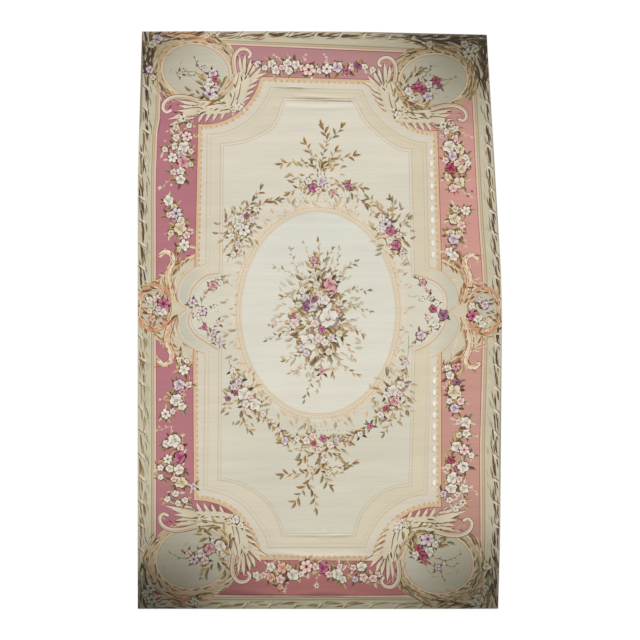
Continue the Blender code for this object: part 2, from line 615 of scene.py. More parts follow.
def foliage(x, y, radiusX, radiusY, count, leafWools, size, faint=0.5, first=0.0):
    # Loose leaves that point outwards, fainter the further out they lie
    before = fading["share"]
    for k in range(count):
        share = first + (1 - first) * math.sqrt((k + 0.5) / count)
        angle = 137.5 * k + chance.uniform(-20, 20)
        spot = (x + radiusX * share * math.cos(math.radians(angle)),
            y + radiusY * share * math.sin(math.radians(angle)))
        fading["share"] = before + (faint - before) * share
        turn, bend = angle + chance.uniform(-50, 50), chance.uniform(-0.2, 0.2)
        leaf(*spot, size * chance.uniform(0.7, 1.25), turn, chance.choice(leafWools), 0.4, bend)
    fading["share"] = before


def finger(x0, y0, x1, y1, width, wool, bend, line):
    # A long pale leaf with a thin shade along one side
    length = math.hypot(x1 - x0, y1 - y0)
    turn = heading((x0, y0), (x1, y1))
    side = -1 if bend < 0 else 1
    shade = []
    for share, across in ((0.1, -0.55), (0.5, -0.62), (1.0, -0.16)):
        shade.append(step(step((x0, y0), turn, length * share), turn + 90, side * width * across))
    face.lay(strip(smooth(shade, 2), width * 0.42, 0.4), plain(line))
    leaf(x0, y0, length, turn, wool, width / length * 1.15, bend, split=False)


def hook(points, width, wool, line, taper=0.6, accent="salmon"):
    # A C-shaped scroll: a pale band with a dark line round it, and a small knob where it ends
    path = smooth(points, 3)
    lit, middle, _ = tones(wool)
    knob = path[-1]
    for wider, colour in ((1.32, line), (1.0, None)):
        disc(*knob, width * taper * 0.62 * wider, colour or lit, None if colour else middle)
        face.lay(strip(path, width * wider, taper),
            plain(colour) if colour else shaded(path[0], knob, middle, lit))
    face.lay(strip(path[1:-1], width * 0.24, taper, offset=width * 0.16), plain(tones(accent)[1]))


flowerKinds = {"rose": rose, "daisy": daisy, "anemone": anemone, "poppy": poppy, "bud": bud}


def flowers(rows, leafWools=(), each=0, size=0.05, pale=None):
    # Each row: x, y, radius, wool and, where it isn't a rose, the kind and its heart.
    # Light flowers may have all but faded into the ground, by the share in pale.
    for x, y, radius, *_ in rows:
        if each and radius > 0.026:
            leavesRound(x, y, radius, each, leafWools, size)
    before = fading["share"]
    for x, y, radius, wool, *kind in rows:
        name = kind[0] if kind else "rose" if radius > 0.024 else "bud"
        light = wool in ("white", "lilac", "blush", "cream")
        fading["share"] = pale if pale and light else before
        flowerKinds[name](x, y, radius, wool, *kind[1:])
    fading["share"] = before


# Outer edge and the frames inside it
bandPlaces = {
    "pinkLeft": (0.18, 0.186),  # distance in from the rug's edge, at the near end and at the far end
    "pinkRight": (0.196, 0.18),
    "pinkNear": (0.136, 0.13),  # at the left end and at the right end
    "pinkFar": (0.112, 0.226),
    "leftPitch": 0.235,  # one bundle of leaves
    "rightPitch": 0.22,
    "endPitch": 0.24,
}


def rugOutline():
    # Anticlockwise round the rug, with the slight waver of a turned edge
    low, high = sheetShape["longEdges"][0], sheetShape["longEdges"][-1]
    waver = random.Random(7)
    outline = []
    for k in range(36):
        share = k / 36
        outline.append((low[1] + share * (low[2] - low[1]), nearEnd(share) + waver.uniform(0, 0.0012)))
    rows = [low[0] + (high[0] - low[0]) * k / 56 for k in range(56)]
    outline += [(rightEdge(y) - waver.uniform(0, 0.0012), y if k else nearEnd(1.0)) for k,
        y in enumerate(rows)]
    for k in range(36):
        share = 1 - k / 36
        outline.append((high[1] + share * (high[2] - high[1]), farEnd(share) - waver.uniform(0, 0.0012)))
    rows = [high[0] + (low[0] - high[0]) * k / 56 for k in range(56)]
    outline += [(leftEdge(y) + waver.uniform(0, 0.0012), y if k else farEnd(0.0)) for k, y in enumerate(rows)]
    return [(x, min(y, farEnd(0.5 + x / 3.5))) for x, y in outline]


def edgeFrame(shift):
    # The pink border's outer edge, moved outwards by shift
    def place(name, share):
        first, last = bandPlaces[name]
        return first + (last - first) * share - shift

    def left(y):
        return leftEdge(y) + place("pinkLeft", (y + 2.835) / 5.67)

    def right(y):
        return rightEdge(y) - place("pinkRight", (y + 2.835) / 5.67)

    def run(start, end, count):
        return [mix(start, end, k / count) for k in range(count)]

    nearLeft, nearRight = -2.835 + place("pinkNear", 0), -2.835 + place("pinkNear", 1)
    farLeft, farRight = 2.835 - place("pinkFar", 0), 2.805 - place("pinkFar", 1)
    path = run((left(nearLeft), nearLeft), (right(nearRight), nearRight), 8)
    path += [(right(y), y) for _, y in run((0, nearRight), (0, farRight), 40)]
    path += run((right(farRight), farRight), (left(farLeft), farLeft), 8)
    return path + [(left(y), y) for _, y in run((0, farLeft), (0, nearLeft), 40)]


# The inner frames, anticlockwise from the near left corner. Each corner bends round its medallion.
innerFrames = {
    "orange": (
        ((-1.205, -1.81), (-1.08, -1.82), (-0.92, -1.87), (-0.78, -1.97), (-0.68, -2.1), (-0.61, -2.24),
            (-0.59, -2.375)),
        ((0.555, -2.385), (0.58, -2.25), (0.66, -2.11), (0.78, -1.99), (0.93, -1.91), (1.07, -1.875),
            (1.18, -1.875)),
        ((1.195, -0.55), (1.2, 0.0), (1.205, 0.53)),
        ((1.18, 1.815), (1.08, 1.82), (0.95, 1.855), (0.8, 1.94), (0.67, 2.05), (0.58, 2.2),
            (0.545, 2.335)),
        ((-0.585, 2.365), (-0.61, 2.27), (-0.67, 2.15), (-0.78, 2.02), (-0.93, 1.925), (-1.08, 1.885),
            (-1.2, 1.885)),
        ((-1.215, 0.57), (-1.22, 0.0), (-1.225, -0.52)),
    ),
    "outerTan": (
        ((-1.115, -1.71), (-1.07, -1.72), (-0.92, -1.76), (-0.78, -1.83), (-0.68, -1.92), (-0.58, -2.05),
         (-0.51, -2.18), (-0.49, -2.265)),
        ((0.455, -2.265), (0.47, -2.2), (0.53, -2.08), (0.62, -1.96), (0.76, -1.85), (0.9, -1.78),
            (1.05, -1.76)),
        ((1.09, -0.44), (1.1, -0.44), (1.18, -0.4), (1.28, -0.32), (1.35, -0.2), (1.372, -0.1),
            (1.33, -0.02),
         (1.3, 0.03), (1.36, 0.07), (1.375, 0.15), (1.35, 0.25), (1.28, 0.35), (1.2, 0.42), (1.09, 0.45)),
        ((1.075, 1.705), (1.0, 1.71), (0.85, 1.76), (0.68, 1.87), (0.55, 2.01), (0.47, 2.15), (0.44, 2.235)),
        ((-0.49, 2.262), (-0.51, 2.2), (-0.57, 2.09), (-0.68, 1.95), (-0.83, 1.85), (-0.97, 1.8),
            (-1.115, 1.79)),
        ((-1.115, 0.49), (-1.2, 0.46), (-1.28, 0.41), (-1.35, 0.33), (-1.385, 0.24), (-1.39, 0.15),
            (-1.36, 0.08),
         (-1.3, 0.04), (-1.38, -0.03), (-1.39, -0.15), (-1.35, -0.25), (-1.25, -0.34), (-1.15, -0.39),
         (-1.115, -0.4)),
    ),
    "innerTan": (
        ((-0.98, -1.625), (-0.92, -1.63), (-0.79, -1.66), (-0.63, -1.74), (-0.49, -1.86), (-0.4, -2.02),
            (-0.36, -2.155)),
        ((0.36, -2.155), (0.375, -2.08), (0.42, -1.95), (0.5, -1.85), (0.61, -1.755), (0.75, -1.7),
            (0.9, -1.68)),
        ((0.945, -0.37), (1.05, -0.32), (1.15, -0.24), (1.23, -0.12), (1.245, -0.03), (1.225, 0.0),
         (1.25, 0.03), (1.26, 0.1), (1.24, 0.2), (1.18, 0.28), (1.09, 0.33), (0.945, 0.38)),
        ((0.925, 1.635), (0.84, 1.645), (0.74, 1.69), (0.6, 1.8), (0.48, 1.92), (0.41, 2.05),
            (0.36, 2.145)),
        ((-0.355, 2.155), (-0.38, 2.08), (-0.42, 1.96), (-0.49, 1.855), (-0.62, 1.775), (-0.78, 1.72),
            (-0.9, 1.7),
         (-0.98, 1.695)),
        ((-0.98, 0.39), (-1.1, 0.37), (-1.18, 0.31), (-1.25, 0.22), (-1.265, 0.12), (-1.235, 0.045),
         (-1.27, -0.03), (-1.27, -0.12), (-1.2, -0.22), (-1.08, -0.3), (-0.98, -0.36)),
    ),
}
lobeRuns = (2, 5)  # which of a frame's runs go round the right and the left lobe


def innerFrame(name):
    return [spot for run in innerFrames[name] for spot in smooth(run, 3)]


def nested(path, lines):
    # Bands inside one another: each is laid whole, and the next one covers all but its rim
    for width, dye in lines:
        face.lay(path, dye)
        path = inset(path, width)
    return path


leafLanes = (  # count in each bundle, nearest and furthest from the edge, shortest and longest, width, lean
    (5, 0.004, 0.05, 0.5, 0.8, 0.105, 6),
    (5, 0.026, 0.09, 0.34, 0.62, 0.095, 10),
    (5, 0.06, 0.125, 0.26, 0.52, 0.065, 18),
)


def leafBorder(path, pitch, laneWools, depth=1.0):
    # Bundles of narrow leaves along the rug's edge, darkest at its rim, with a pale ribbon across each
    count = max(1, round(pathLength(path) / pitch))
    for point, along in stations(path, count, 0.5 / count, 1 - 0.5 / count):
        for laneIndex in (2, 1, 0):
            number, near, far, short, long, width, lean = leafLanes[laneIndex]
            for k in range(number):
                begin = pitch * (chance.uniform(-0.52, -0.2) + 0.42 * (k % 2))
                spot = step(step(point, along, begin), along + 90, depth * chance.uniform(near, far))
                turn = along + chance.uniform(0.2, 1.4) * lean
                wool = chance.choice(laneWools[laneIndex])
                leaf(*spot, pitch * chance.uniform(short, long), turn, wool, width, 0.1,
                    split=laneIndex == 1)
        knot = step(step(point, along, pitch * 0.44), along + 90, 0.004)
        tip = step(knot, along + chance.uniform(32, 58), 0.1 * depth)
        finger(*knot, *tip, 0.022, "scroll", 0.1, tones("brown")[1])


def layBorders():
    face.lay(rugOutline(), plain(grounds["outerBand"]))
    rows = np.linspace(-2.72, 2.74, 60)
    leftPath = [(leftEdge(y) + 0.002, y) for y in rows]
    rightPath = [(rightEdge(y) - 0.002, y) for y in rows]
    farPath = [(x, farEnd(0.5 + x / 3.5) - 0.002) for x in np.linspace(-1.5, 1.45, 40)]
    nearPath = [(x, -2.832) for x in np.linspace(-1.45, 1.45, 40)]
    darks, greys, faints = ("dark", "dark", "brown"), ("olive", "brown", "sage"), ("sage", "olive",
        "scroll", "tan")
    lows = ("olive", "sage", "olive", "brown")
    leafBorder(leftPath[32:][::-1], bandPlaces["leftPitch"], (darks, greys, faints))
    leafBorder(leftPath[:33][::-1], bandPlaces["leftPitch"], (lows, ("sage", "olive"), faints))
    leafBorder(rightPath, bandPlaces["rightPitch"], (darks, greys, faints), 0.85)
    leafBorder(farPath[::-1], bandPlaces["endPitch"], (("dark", "brown"), greys, faints), 0.72)
    leafBorder(nearPath, bandPlaces["endPitch"], (lows, faints, faints), 0.72)
    lines = (
        (0.01, "scroll"), (0.012, "oliveLine"), (0.008, "outerBand"), (0.012, "tanLine"),
        (0.016, "creamLine"),
        (0.006, "crimsonLine"),
    )
    nested(edgeFrame(0.064), [(width, plain(grounds.get(tone) or wools[tone][1])) for width, tone in lines])
    layPink()


def layPink():
    # The pink ground, in four runs that meet under the corner medallions
    rim = edgeFrame(0.0)
    middle = ((-0.9, -1.6), (0.9, -1.6), (0.9, 1.6), (-0.9, 1.6))
    runs = (
        (rim[0:9], middle[1], middle[0], "pinkNearLeft", "pinkNear", (-1.3, -2.6), (-0.5, -2.6)),
        (rim[8:49], middle[2], middle[1], "pinkRightLow", "pinkRight", (1.4, -1.5), (1.4, 0.6)),
        (rim[48:57], middle[3], middle[2], "pinkTopRight", "pinkTop", (1.0, 2.5), (0.0, 2.5)),
        (rim[56:] + rim[:1], middle[0], middle[3], "pinkLeft", "pinkLeftLow", (-1.4, 1.5), (-1.4, -1.0)),
    )
    for run, first, second, startTone, endTone, start, end in runs:
        face.lay(run + [first, second], shaded(start, end, grounds[startTone], grounds[endTone]))


# Shapes beside the side lobes, where the pink stops
lobeSurrounds = (
    ((-1.2, 0.575), (-1.3, 0.53), (-1.4, 0.46), (-1.5, 0.38), (-1.6, 0.31), (-1.605, 0.05),
        (-1.6, -0.24),
     (-1.5, -0.29), (-1.4, -0.38), (-1.31, -0.455), (-1.2, -0.525)),
    ((1.19, -0.555), (1.27, -0.49), (1.36, -0.42), (1.46, -0.36), (1.59, -0.3), (1.6, 0.0), (1.585, 0.27),
     (1.48, 0.33), (1.36, 0.43), (1.27, 0.49), (1.19, 0.535)),
)


def layFrames():
    layBorders()
    for outline in lobeSurrounds:
        face.lay(outline, plain(grounds["surround"]))
        inner = [(x * 0.955, y * 0.92) for x, y in outline[1:-1]]
        leavesAlong(inner, 44, ("tan", "scroll", "olive", "cream", "peach"), 0.09, 0.06, (5, 40), 0.18, False)
        for end in (outline[:5], outline[:-6:-1]):
            path = smooth(end, 3)
            for width, tone in ((0.044, "brownLine"), (0.034, "orangeBand"), (0.01, "whiteBand")):
                face.lay(strip(path, width, 0.5), plain(grounds[tone]))
            leavesAlong(end, 16, ("peach", "brown", "scroll", "ochre"), 0.085, 0.02, (10, 50), 0.26)
    orange = innerFrame("orange")
    face.lay(inset(orange, -0.006), plain(grounds["crimsonLine"]))
    white = nested(orange, ((0.038, plain(grounds["orangeBand"])), (0.005, plain(grounds["tanLine"]))))
    face.lay(white, plain(grounds["whiteBand"]))
    layNotches(orange)
    cream = shaded((-1.0, 0), (1.0, 0), grounds["creamBand"], grounds["creamBandRight"])
    lines = ((0.008, plain(grounds["faintTan"])), (0.03, cream), (0.004, plain(grounds["greyLine"])))
    face.lay(nested(innerFrame("outerTan"), lines), cream)
    layLobes()
    field = shaded((0.2, 1.9), (-0.1, -1.9), grounds["fieldTop"], grounds["fieldLow"])
    lines = ((0.009, plain(grounds["faintTan"])), (0.018, field), (0.007, plain(grounds["faintTan"])))
    face.lay(nested(innerFrame("innerTan"), lines), field)
    layPearls()


notches = {"pitch": 0.058, "radius": 0.014}


def layNotches(path):
    # Pale bites into the inner rim of the orange band, with tan and brown specks between
    inner = inset(path, 0.042)
    pitch, radius = notches["pitch"], notches["radius"]
    bite = mix(grounds["whiteBand"], grounds["orangeBand"], 0.35)
    for first, second in zip(inner, inner[1:] + inner[:1]):
        count = max(1, round(math.hypot(second[0] - first[0], second[1] - first[1]) / pitch))
        for point, along in stations([first, second], count, 0.5 / count, 1 - 0.5 / count):
            reach = radius * chance.uniform(1.2, 2.2)
            base = step(point, along + 90, radius * 0.6)
            petal(*base, along - 90 + chance.uniform(-20, 20), reach, radius * 1.9, grounds["whiteBand"],
                bite)
            tone = chance.choice(("brownLine", "tanLine", "orangeLine", "tanLine"))
            spot = step(point, along, pitch * chance.uniform(0.3, 0.6))
            sliver(*spot, along + chance.uniform(60, 120), -0.024, 0.014, 0.008, grounds[tone])


def layLobes():
    # Grey-green ground between a lobe's outer and inner line, with a peach and a white line along both
    for run in lobeRuns:
        outer, inner = (smooth(innerFrames[name][run], 3) for name in ("outerTan", "innerTan"))
        side = 1 if outer[0][0] > 0 else -1
        face.lay(outer, shaded((side * 1.08, 0), (side * 1.3, 0), grounds["creamBand"], grounds["lobe"]))
        for path, side in ((outer, 1), (inner, -1)):
            face.lay(strip(path, 0.012, 1, side * 0.018), plain(wools["white"][1]))
            face.lay(strip(path, 0.009, 1, side * 0.004), plain(grounds["orangeLine"]))


def layPearls():
    # Pale beads on the right-hand cream band, as wide as the gaps between them
    for low, high in ((-1.7, -0.5), (0.52, 1.66)):
        count = round((high - low) / 0.11)
        for k in range(count):
            y = low + (k + 0.5) * (high - low) / count
            x = 1.132 - 0.01 * abs(y)
            face.lay(oval(x - 0.003, y - 0.004, 0.023, 0.036, 10), plain(grounds["faintTan"]))
            face.lay(oval(x, y, 0.018, 0.03, 10), plain(wools["white"][0]))


layFrames()
print("frames laid:", len(face.shapes), "shapes")

# The middle oval with its ring of faint scrolls
ovalSettings = {"centre": (-0.005, 0.01), "radii": (0.775, 1.01), "line": 0.005, "scrollFade": 0.45}


def layTrellis(x0, y0, x1, y1, pitch=0.04):
    # A patch of dotted trellis
    for row in range(round((y1 - y0) / pitch)):
        for column in range(round((x1 - x0) / pitch)):
            x = x0 + (column + 0.5 + 0.5 * (row % 2)) * pitch + chance.uniform(-0.006, 0.006)
            y = y0 + (row + 0.5) * pitch + chance.uniform(-0.006, 0.006)
            disc(x, y, 0.008, tones(chance.choice(("tan", "peach", "olive")))[1])


def layOval():
    fading.update(share=ovalSettings["scrollFade"], ground=grounds["fieldTop"])
    (x, y), (radiusX, radiusY), line = (ovalSettings[name] for name in ("centre", "radii", "line"))
    for middle in (1.14, -1.14):
        layTrellis(-0.38, middle - 0.1, 0.38, middle + 0.07)
    band, ground = grounds["ovalBand"], grounds["fieldTop"]
    face.lay(oval(x, y, radiusX + 0.085, radiusY + 0.062), plain(mix(band, ground, 0.7)))
    face.lay(oval(x, y, radiusX + 0.045, radiusY + 0.03), plain(mix(band, wools["peach"][1], 0.1)))
    foliage(0, 0.01, 0.93, 1.12, 170, ("peach", "tan", "cream", "gold", "tan", "olive"), 0.075, 0.42, 0.8)
    for start, stop in ((12, 58), (62, 84), (96, 118), (122, 168), (192, 238), (242, 262), (278, 298),
        (302, 348)):
        # A scrolling run of peach leaves just outside the ring
        path = arc(x, y, radiusX + 0.06, radiusY + 0.048, start, stop, 8)
        face.lay(strip(path, 0.016, 0.6), shaded(path[0], path[-1], tones("peach")[0], tones("peach")[1]))
        leavesAlong(path, 18, ("peach", "tan", "cream"), 0.055, 0.01, (25, 70), 0.3)
    for wider, tone in ((0.03, "ovalLine"), (0.024, "ovalBand"), (0.0, "ovalLine"), (-line, "ovalBand"),
        (-0.016, "ovalLine")):
        face.lay(oval(x, y, radiusX + wider, radiusY + wider), plain(grounds[tone]))
    ring = oval(x, y, radiusX + 0.014, radiusY + 0.014)
    for point, along in stations(ring + ring[:1], 150):
        # Short ticks like a lace edge
        sliver(*point, along - 90 + chance.uniform(-25, 25), -0.01, 0.014, 0.007,
            tones(chance.choice(("peach", "tan")))[1])
    glow = shaded((0, 0.9), (0, -0.9), grounds["ovalTop"], grounds["ovalLow"])
    face.lay(oval(x, y, radiusX - 0.016 - line, radiusY - 0.016 - line), glow)
    fading.update(share=0.0)


# Corner medallions: a gold ring of scrolling leaves round a grey oval with a posy
medallions = (
    {
        "centre": (-1.225, 2.425), "radii": (0.33, 0.262), "tilt": -14,
        "rim": ("gold", "tan", "scroll", "peach"),
        "twigs": (((-1.13, 2.36), (-1.26, 2.42), (-1.4, 2.41)),
            ((-1.22, 2.4), (-1.28, 2.38), (-1.34, 2.44)),
                  ((-1.1, 2.38), (-1.2, 2.46), (-1.24, 2.56))),
        "heads": (
            (-1.39, 2.395, 0.028, "sage"), (-1.15, 2.455, 0.026, "lilac"), (-1.22, 2.49, 0.022, "purple"),
            (-1.08, 2.32, 0.044, "white"), (-1.06, 2.4, 0.046, "lilac", "rose", "crimson"),
            (-1.04, 2.345, 0.03, "crimson"),
            (-1.0, 2.31, 0.022, "crimson"), (-1.1, 2.265, 0.048, "white"), (-1.03, 2.25, 0.036, "blush"),
            (-1.09, 2.19, 0.066, "lilac", "anemone", "purple"), (-1.03, 2.16, 0.034, "white"),
        ),
        "spray": (((-1.05, 2.16), (-1.28, 2.2)), ((-1.02, 2.14), (-0.97, 2.32)),
            ((-1.12, 2.22), (-1.17, 2.36))),
    },
    {
        "centre": (1.145, 2.335), "radii": (0.325, 0.25), "tilt": 8,
        "rim": ("ochre", "gold", "brown", "olive"),
        "twigs": (((1.12, 2.33), (1.24, 2.33), (1.36, 2.36)), ((1.02, 2.34), (1.08, 2.4), (1.12, 2.46))),
        "heads": (
            (0.9, 2.22, 0.046, "white"), (1.1, 2.29, 0.04, "white"),
            (0.93, 2.155, 0.034, "white", "daisy", "gold"),
            (1.09, 2.17, 0.046, "lilac"), (0.97, 2.25, 0.044, "crimson"), (1.03, 2.24, 0.042, "crimson"),
            (1.0, 2.29, 0.034, "magenta"), (1.17, 2.33, 0.04, "crimson"), (1.21, 2.27, 0.028, "purple"),
            (1.12, 2.39, 0.02, "lilac"),
        ),
        "spray": (((0.82, 2.2), (0.88, 2.36)), ((0.92, 2.36), (1.02, 2.45)), ((0.84, 2.1), (1.1, 2.06)),
            ((0.8, 2.16), (0.98, 2.04))),
    },
    {
        "centre": (-1.205, -2.355), "radii": (0.34, 0.276), "tilt": 8,
        "rim": ("tan", "peach", "ochre", "scroll"),
        "twigs": (((-1.2, -2.34), (-1.32, -2.36), (-1.42, -2.31)),
            ((-1.08, -2.38), (-1.12, -2.46), (-1.14, -2.54))),
        "heads": (
            (-1.25, -2.32, 0.034, "blush"), (-1.01, -2.21, 0.036, "white"), (-1.12, -2.31, 0.048, "white"),
            (-1.05, -2.27, 0.052, "rose"), (-0.95, -2.24, 0.056, "white"),
            (-1.2, -2.37, 0.046, "lilac", "anemone", "dark"),
            (-1.09, -2.38, 0.038, "blush"), (-1.31, -2.29, 0.02, "magenta"), (-0.92, -2.32, 0.03, "white"),
        ),
        "spray": (((-0.94, -2.34), (-0.88, -2.2)), ((-0.98, -2.36), (-0.9, -2.46)),
            ((-1.0, -2.18), (-1.14, -2.12)), ((-1.02, -2.4), (-1.1, -2.5))),
    },
    {
        "centre": (1.145, -2.405), "radii": (0.325, 0.272), "tilt": -8,
        "rim": ("gold", "tan", "olive", "ochre"),
        "twigs": (((1.12, -2.36), (1.24, -2.38), (1.35, -2.33)),
            ((1.08, -2.42), (1.16, -2.48), (1.2, -2.56)),
                  ((1.18, -2.38), (1.26, -2.44), (1.32, -2.42))),
        "heads": (
            (1.06, -2.3, 0.046, "white"), (0.96, -2.27, 0.04, "crimson"), (1.0, -2.34, 0.044, "crimson"),
            (1.02, -2.39, 0.03, "magenta"), (0.93, -2.33, 0.034, "white"),
            (1.05, -2.18, 0.066, "lilac", "anemone", "crimson"),
            (1.12, -2.23, 0.034, "white"), (1.14, -2.45, 0.032, "lilac"), (1.19, -2.41, 0.024, "white"),
        ),
        "spray": (((0.94, -2.2), (1.0, -2.07)), ((1.12, -2.2), (1.2, -2.1)),
            ((1.12, -2.28), (1.22, -2.2)), ((0.92, -2.36), (0.9, -2.22))),
    },
)
ringLines = (  # how far outside the oval, colour
    (0.052, "tanLine"), (0.046, "creamLine"), (0.032, "orangeLine"), (0.025, "creamBand"),
    (0.012, "orangeLine"),
    (0.005, "tanLine"),
)


def layMedallion(place):
    (x, y), (radiusX, radiusY), tilt = place["centre"], place["radii"], place["tilt"]
    outward = heading((0, 0), (x, y))
    # A leafy ground round the ring, widest towards the rug's corner
    offX, offY = step((x, y), outward, 0.03)
    face.lay(oval(offX, offY, radiusX + 0.105, radiusY + 0.105, 60, tilt),
        plain(mix(tones(place["rim"][1])[1], grounds["outerBand"], 0.5)))
    for wider in (0.135, 0.115, 0.095, 0.075):
        # Loose strokes that follow the ring outside it
        ring = oval(x, y, radiusX + wider, radiusY + wider, 60, tilt)
        for point, along in stations(ring + ring[:1], 34, 0, 0.97):
            if abs((heading((x, y), point) - outward + 180) % 360 - 180) < 105:
                wool = chance.choice(place["rim"] + ("olive", "scroll", "cream", "brown"))
                leaf(*point, chance.uniform(0.08, 0.15), along + chance.uniform(-16, 16), wool, 0.17, 0.12)
    for wider, tone in ringLines:
        face.lay(oval(x, y, radiusX + wider, radiusY + wider, 60, tilt), plain(grounds[tone]))
    light, shade = grounds["medallion"], mix(grounds["medallion"], wools["sage"][1], 0.45)
    face.lay(oval(x, y, radiusX, radiusY, 60, tilt), shaded((x * 0.8, 0), (x * 1.25, 0), light, shade))
    ring = oval(x, y, radiusX + 0.03, radiusY + 0.03, 60, tilt)
    for k, (point, along) in enumerate(stations(ring + ring[:1], 44, 0, 0.975)):
        away = abs((heading((x, y), point) - outward + 180) % 360 - 180)
        wool = chance.choice(place["rim"] + (("olive", "tan") if away < 100 else ("scroll", "cream")))
        leaf(*point, chance.uniform(0.05, 0.1), along - chance.uniform(0, 34) * (1 if k % 2 else -0.4),
            wool, 0.28, -0.15)
    fading.update(share=0.25, ground=grounds["medallion"])
    leavesAlong(oval(x, y, radiusX * 0.7, radiusY * 0.7, 30, tilt), 26, ("sage", "tan", "olive"), 0.09,
        0.09, (0, 40), 0.1, False)
    fading.update(share=0.05)
    for twig in place["twigs"]:
        sprig(twig, "brown", 5, 0.03, 0.006, ("brown", "dark", "ochre"))
    for points in place["spray"]:
        leavesAlong(points, 6, ("gold", "ochre", "brown", "olive"), 0.085, 0.02, (10, 60))
    flowers(place["heads"], ("gold", "ochre", "brown", "olive", "dark"), 4, 0.035)
    fading.update(share=0.0)


# Acanthus round each medallion, drawn for the far left corner and mirrored to the others
acanthus = {
    "home": (-1.225, 2.425),
    "masses": (
        ((-0.9, 2.02), (-0.78, 2.03), (-0.735, 2.12), (-0.7, 2.26), (-0.69, 2.38), (-0.76, 2.44),
            (-0.81, 2.4),
         (-0.84, 2.5), (-0.87, 2.62), (-0.95, 2.5), (-0.93, 2.24), (-1.02, 2.16)),
        ((-0.78, 2.08), (-0.88, 2.01), (-1.02, 1.985), (-1.18, 1.985), (-1.3, 2.0), (-1.34, 2.05),
            (-1.24, 2.09),
         (-1.36, 2.15), (-1.46, 2.19), (-1.3, 2.24), (-1.1, 2.18)),
    ),
    "fingers": (  # x and y of the root, x and y of the tip, width, bend
        (-0.76, 2.38, -0.79, 2.58, 0.026, 0.1), (-0.74, 2.38, -0.735, 2.6, 0.032, 0.08),
        (-0.72, 2.36, -0.68, 2.55, 0.032, -0.06),
        (-0.7, 2.36, -0.63, 2.52, 0.032, -0.1), (-0.7, 2.34, -0.57, 2.47, 0.03, -0.12),
        (-0.72, 2.31, -0.52, 2.405, 0.03, 0.1),
        (-0.72, 2.27, -0.59, 2.35, 0.026, 0.14), (-0.74, 2.22, -0.61, 2.29, 0.026, 0.14),
        (-0.75, 2.16, -0.64, 2.225, 0.024, 0.14),
        (-0.77, 2.11, -0.68, 2.16, 0.022, 0.14), (-0.93, 2.01, -0.975, 1.93, 0.024, -0.14),
        (-1.0, 2.01, -1.055, 1.915, 0.026, -0.14),
        (-1.06, 2.01, -1.13, 1.905, 0.026, -0.14), (-1.13, 2.01, -1.2, 1.9, 0.026, -0.14),
        (-1.18, 2.01, -1.32, 1.89, 0.028, -0.12),
        (-1.18, 2.06, -1.4, 2.075, 0.028, 0.1), (-1.18, 2.09, -1.4, 2.125, 0.026, 0.12),
        (-1.16, 2.04, -1.42, 2.02, 0.03, 0.06),
        (-1.18, 2.01, -1.44, 1.965, 0.03, -0.06), (-1.2, 1.99, -1.51, 1.93, 0.028, -0.06),
        (-1.24, 1.96, -1.5, 1.865, 0.026, -0.08),
        (-0.9, 2.08, -1.14, 2.06, 0.036, 0.06), (-0.84, 2.12, -0.785, 2.3, 0.034, 0.1),
        (-0.86, 2.24, -0.8, 2.42, 0.03, 0.08),
        (-0.9, 2.06, -0.84, 2.22, 0.03, 0.1), (-1.0, 2.1, -1.22, 2.12, 0.03, 0.08),
    ),
    "hooks": (
        ((-0.835, 2.4), (-0.85, 2.5), (-0.84, 2.59), (-0.785, 2.65), (-0.715, 2.645), (-0.68, 2.6),
            (-0.7, 2.565)),
        ((-1.2, 2.125), (-1.33, 2.16), (-1.45, 2.16), (-1.53, 2.115), (-1.553, 2.05), (-1.52, 2.008),
            (-1.475, 2.025)),
    ),
    "strokes": (  # dark and gold leaves along these
        ((("dark", "brown", "ochre"), 9, 0.07), ((-0.76, 2.3), (-0.73, 2.42), (-0.68, 2.5))),
        ((("dark", "brown", "ochre"), 10, 0.08), ((-1.1, 2.02), (-1.24, 2.04), (-1.4, 2.0))),
        ((("dark", "olive", "brown"), 9, 0.06), ((-0.88, 2.05), (-1.0, 2.05), (-1.1, 2.06))),
        ((("crimson", "salmon"), 5, 0.06), ((-0.8, 2.46), (-0.79, 2.56), (-0.75, 2.6))),
        ((("crimson", "salmon"), 6, 0.06), ((-1.3, 2.1), (-1.42, 2.1), (-1.5, 2.07))),
        ((("gold", "ochre", "olive", "tan"), 11, 0.085),
            ((-0.86, 2.42), (-0.89, 2.26), (-0.98, 2.12), (-1.14, 2.11))),
    ),
}
junctions = (
    (-0.8, 2.06, 0.04, "white"), (-0.85, 2.03, 0.03, "cream"), (-0.76, 2.03, 0.024, "white"),
    (-0.61, 2.5, 0.034, "white"),
    (0.79, 1.98, 0.04, "white"), (0.86, 2.03, 0.03, "cream"), (0.74, 2.02, 0.024, "white"),
    (-0.6, -2.52, 0.034, "white"),
    (-0.8, -1.995, 0.04, "white"), (-0.86, -2.01, 0.03, "cream"), (-0.75, -2.05, 0.028, "white"),
    (0.56, -2.52, 0.034, "blush"),
    (0.77, -2.05, 0.04, "white"), (0.85, -2.04, 0.03, "cream"), (0.73, -2.1, 0.024, "white"),
    (0.54, 2.44, 0.034, "white"),
    (-1.37, 1.935, 0.032, "white"), (1.33, 1.86, 0.034, "white"), (-1.36, -1.84, 0.032, "white"),
    (1.32, -1.89, 0.034, "white"),
)


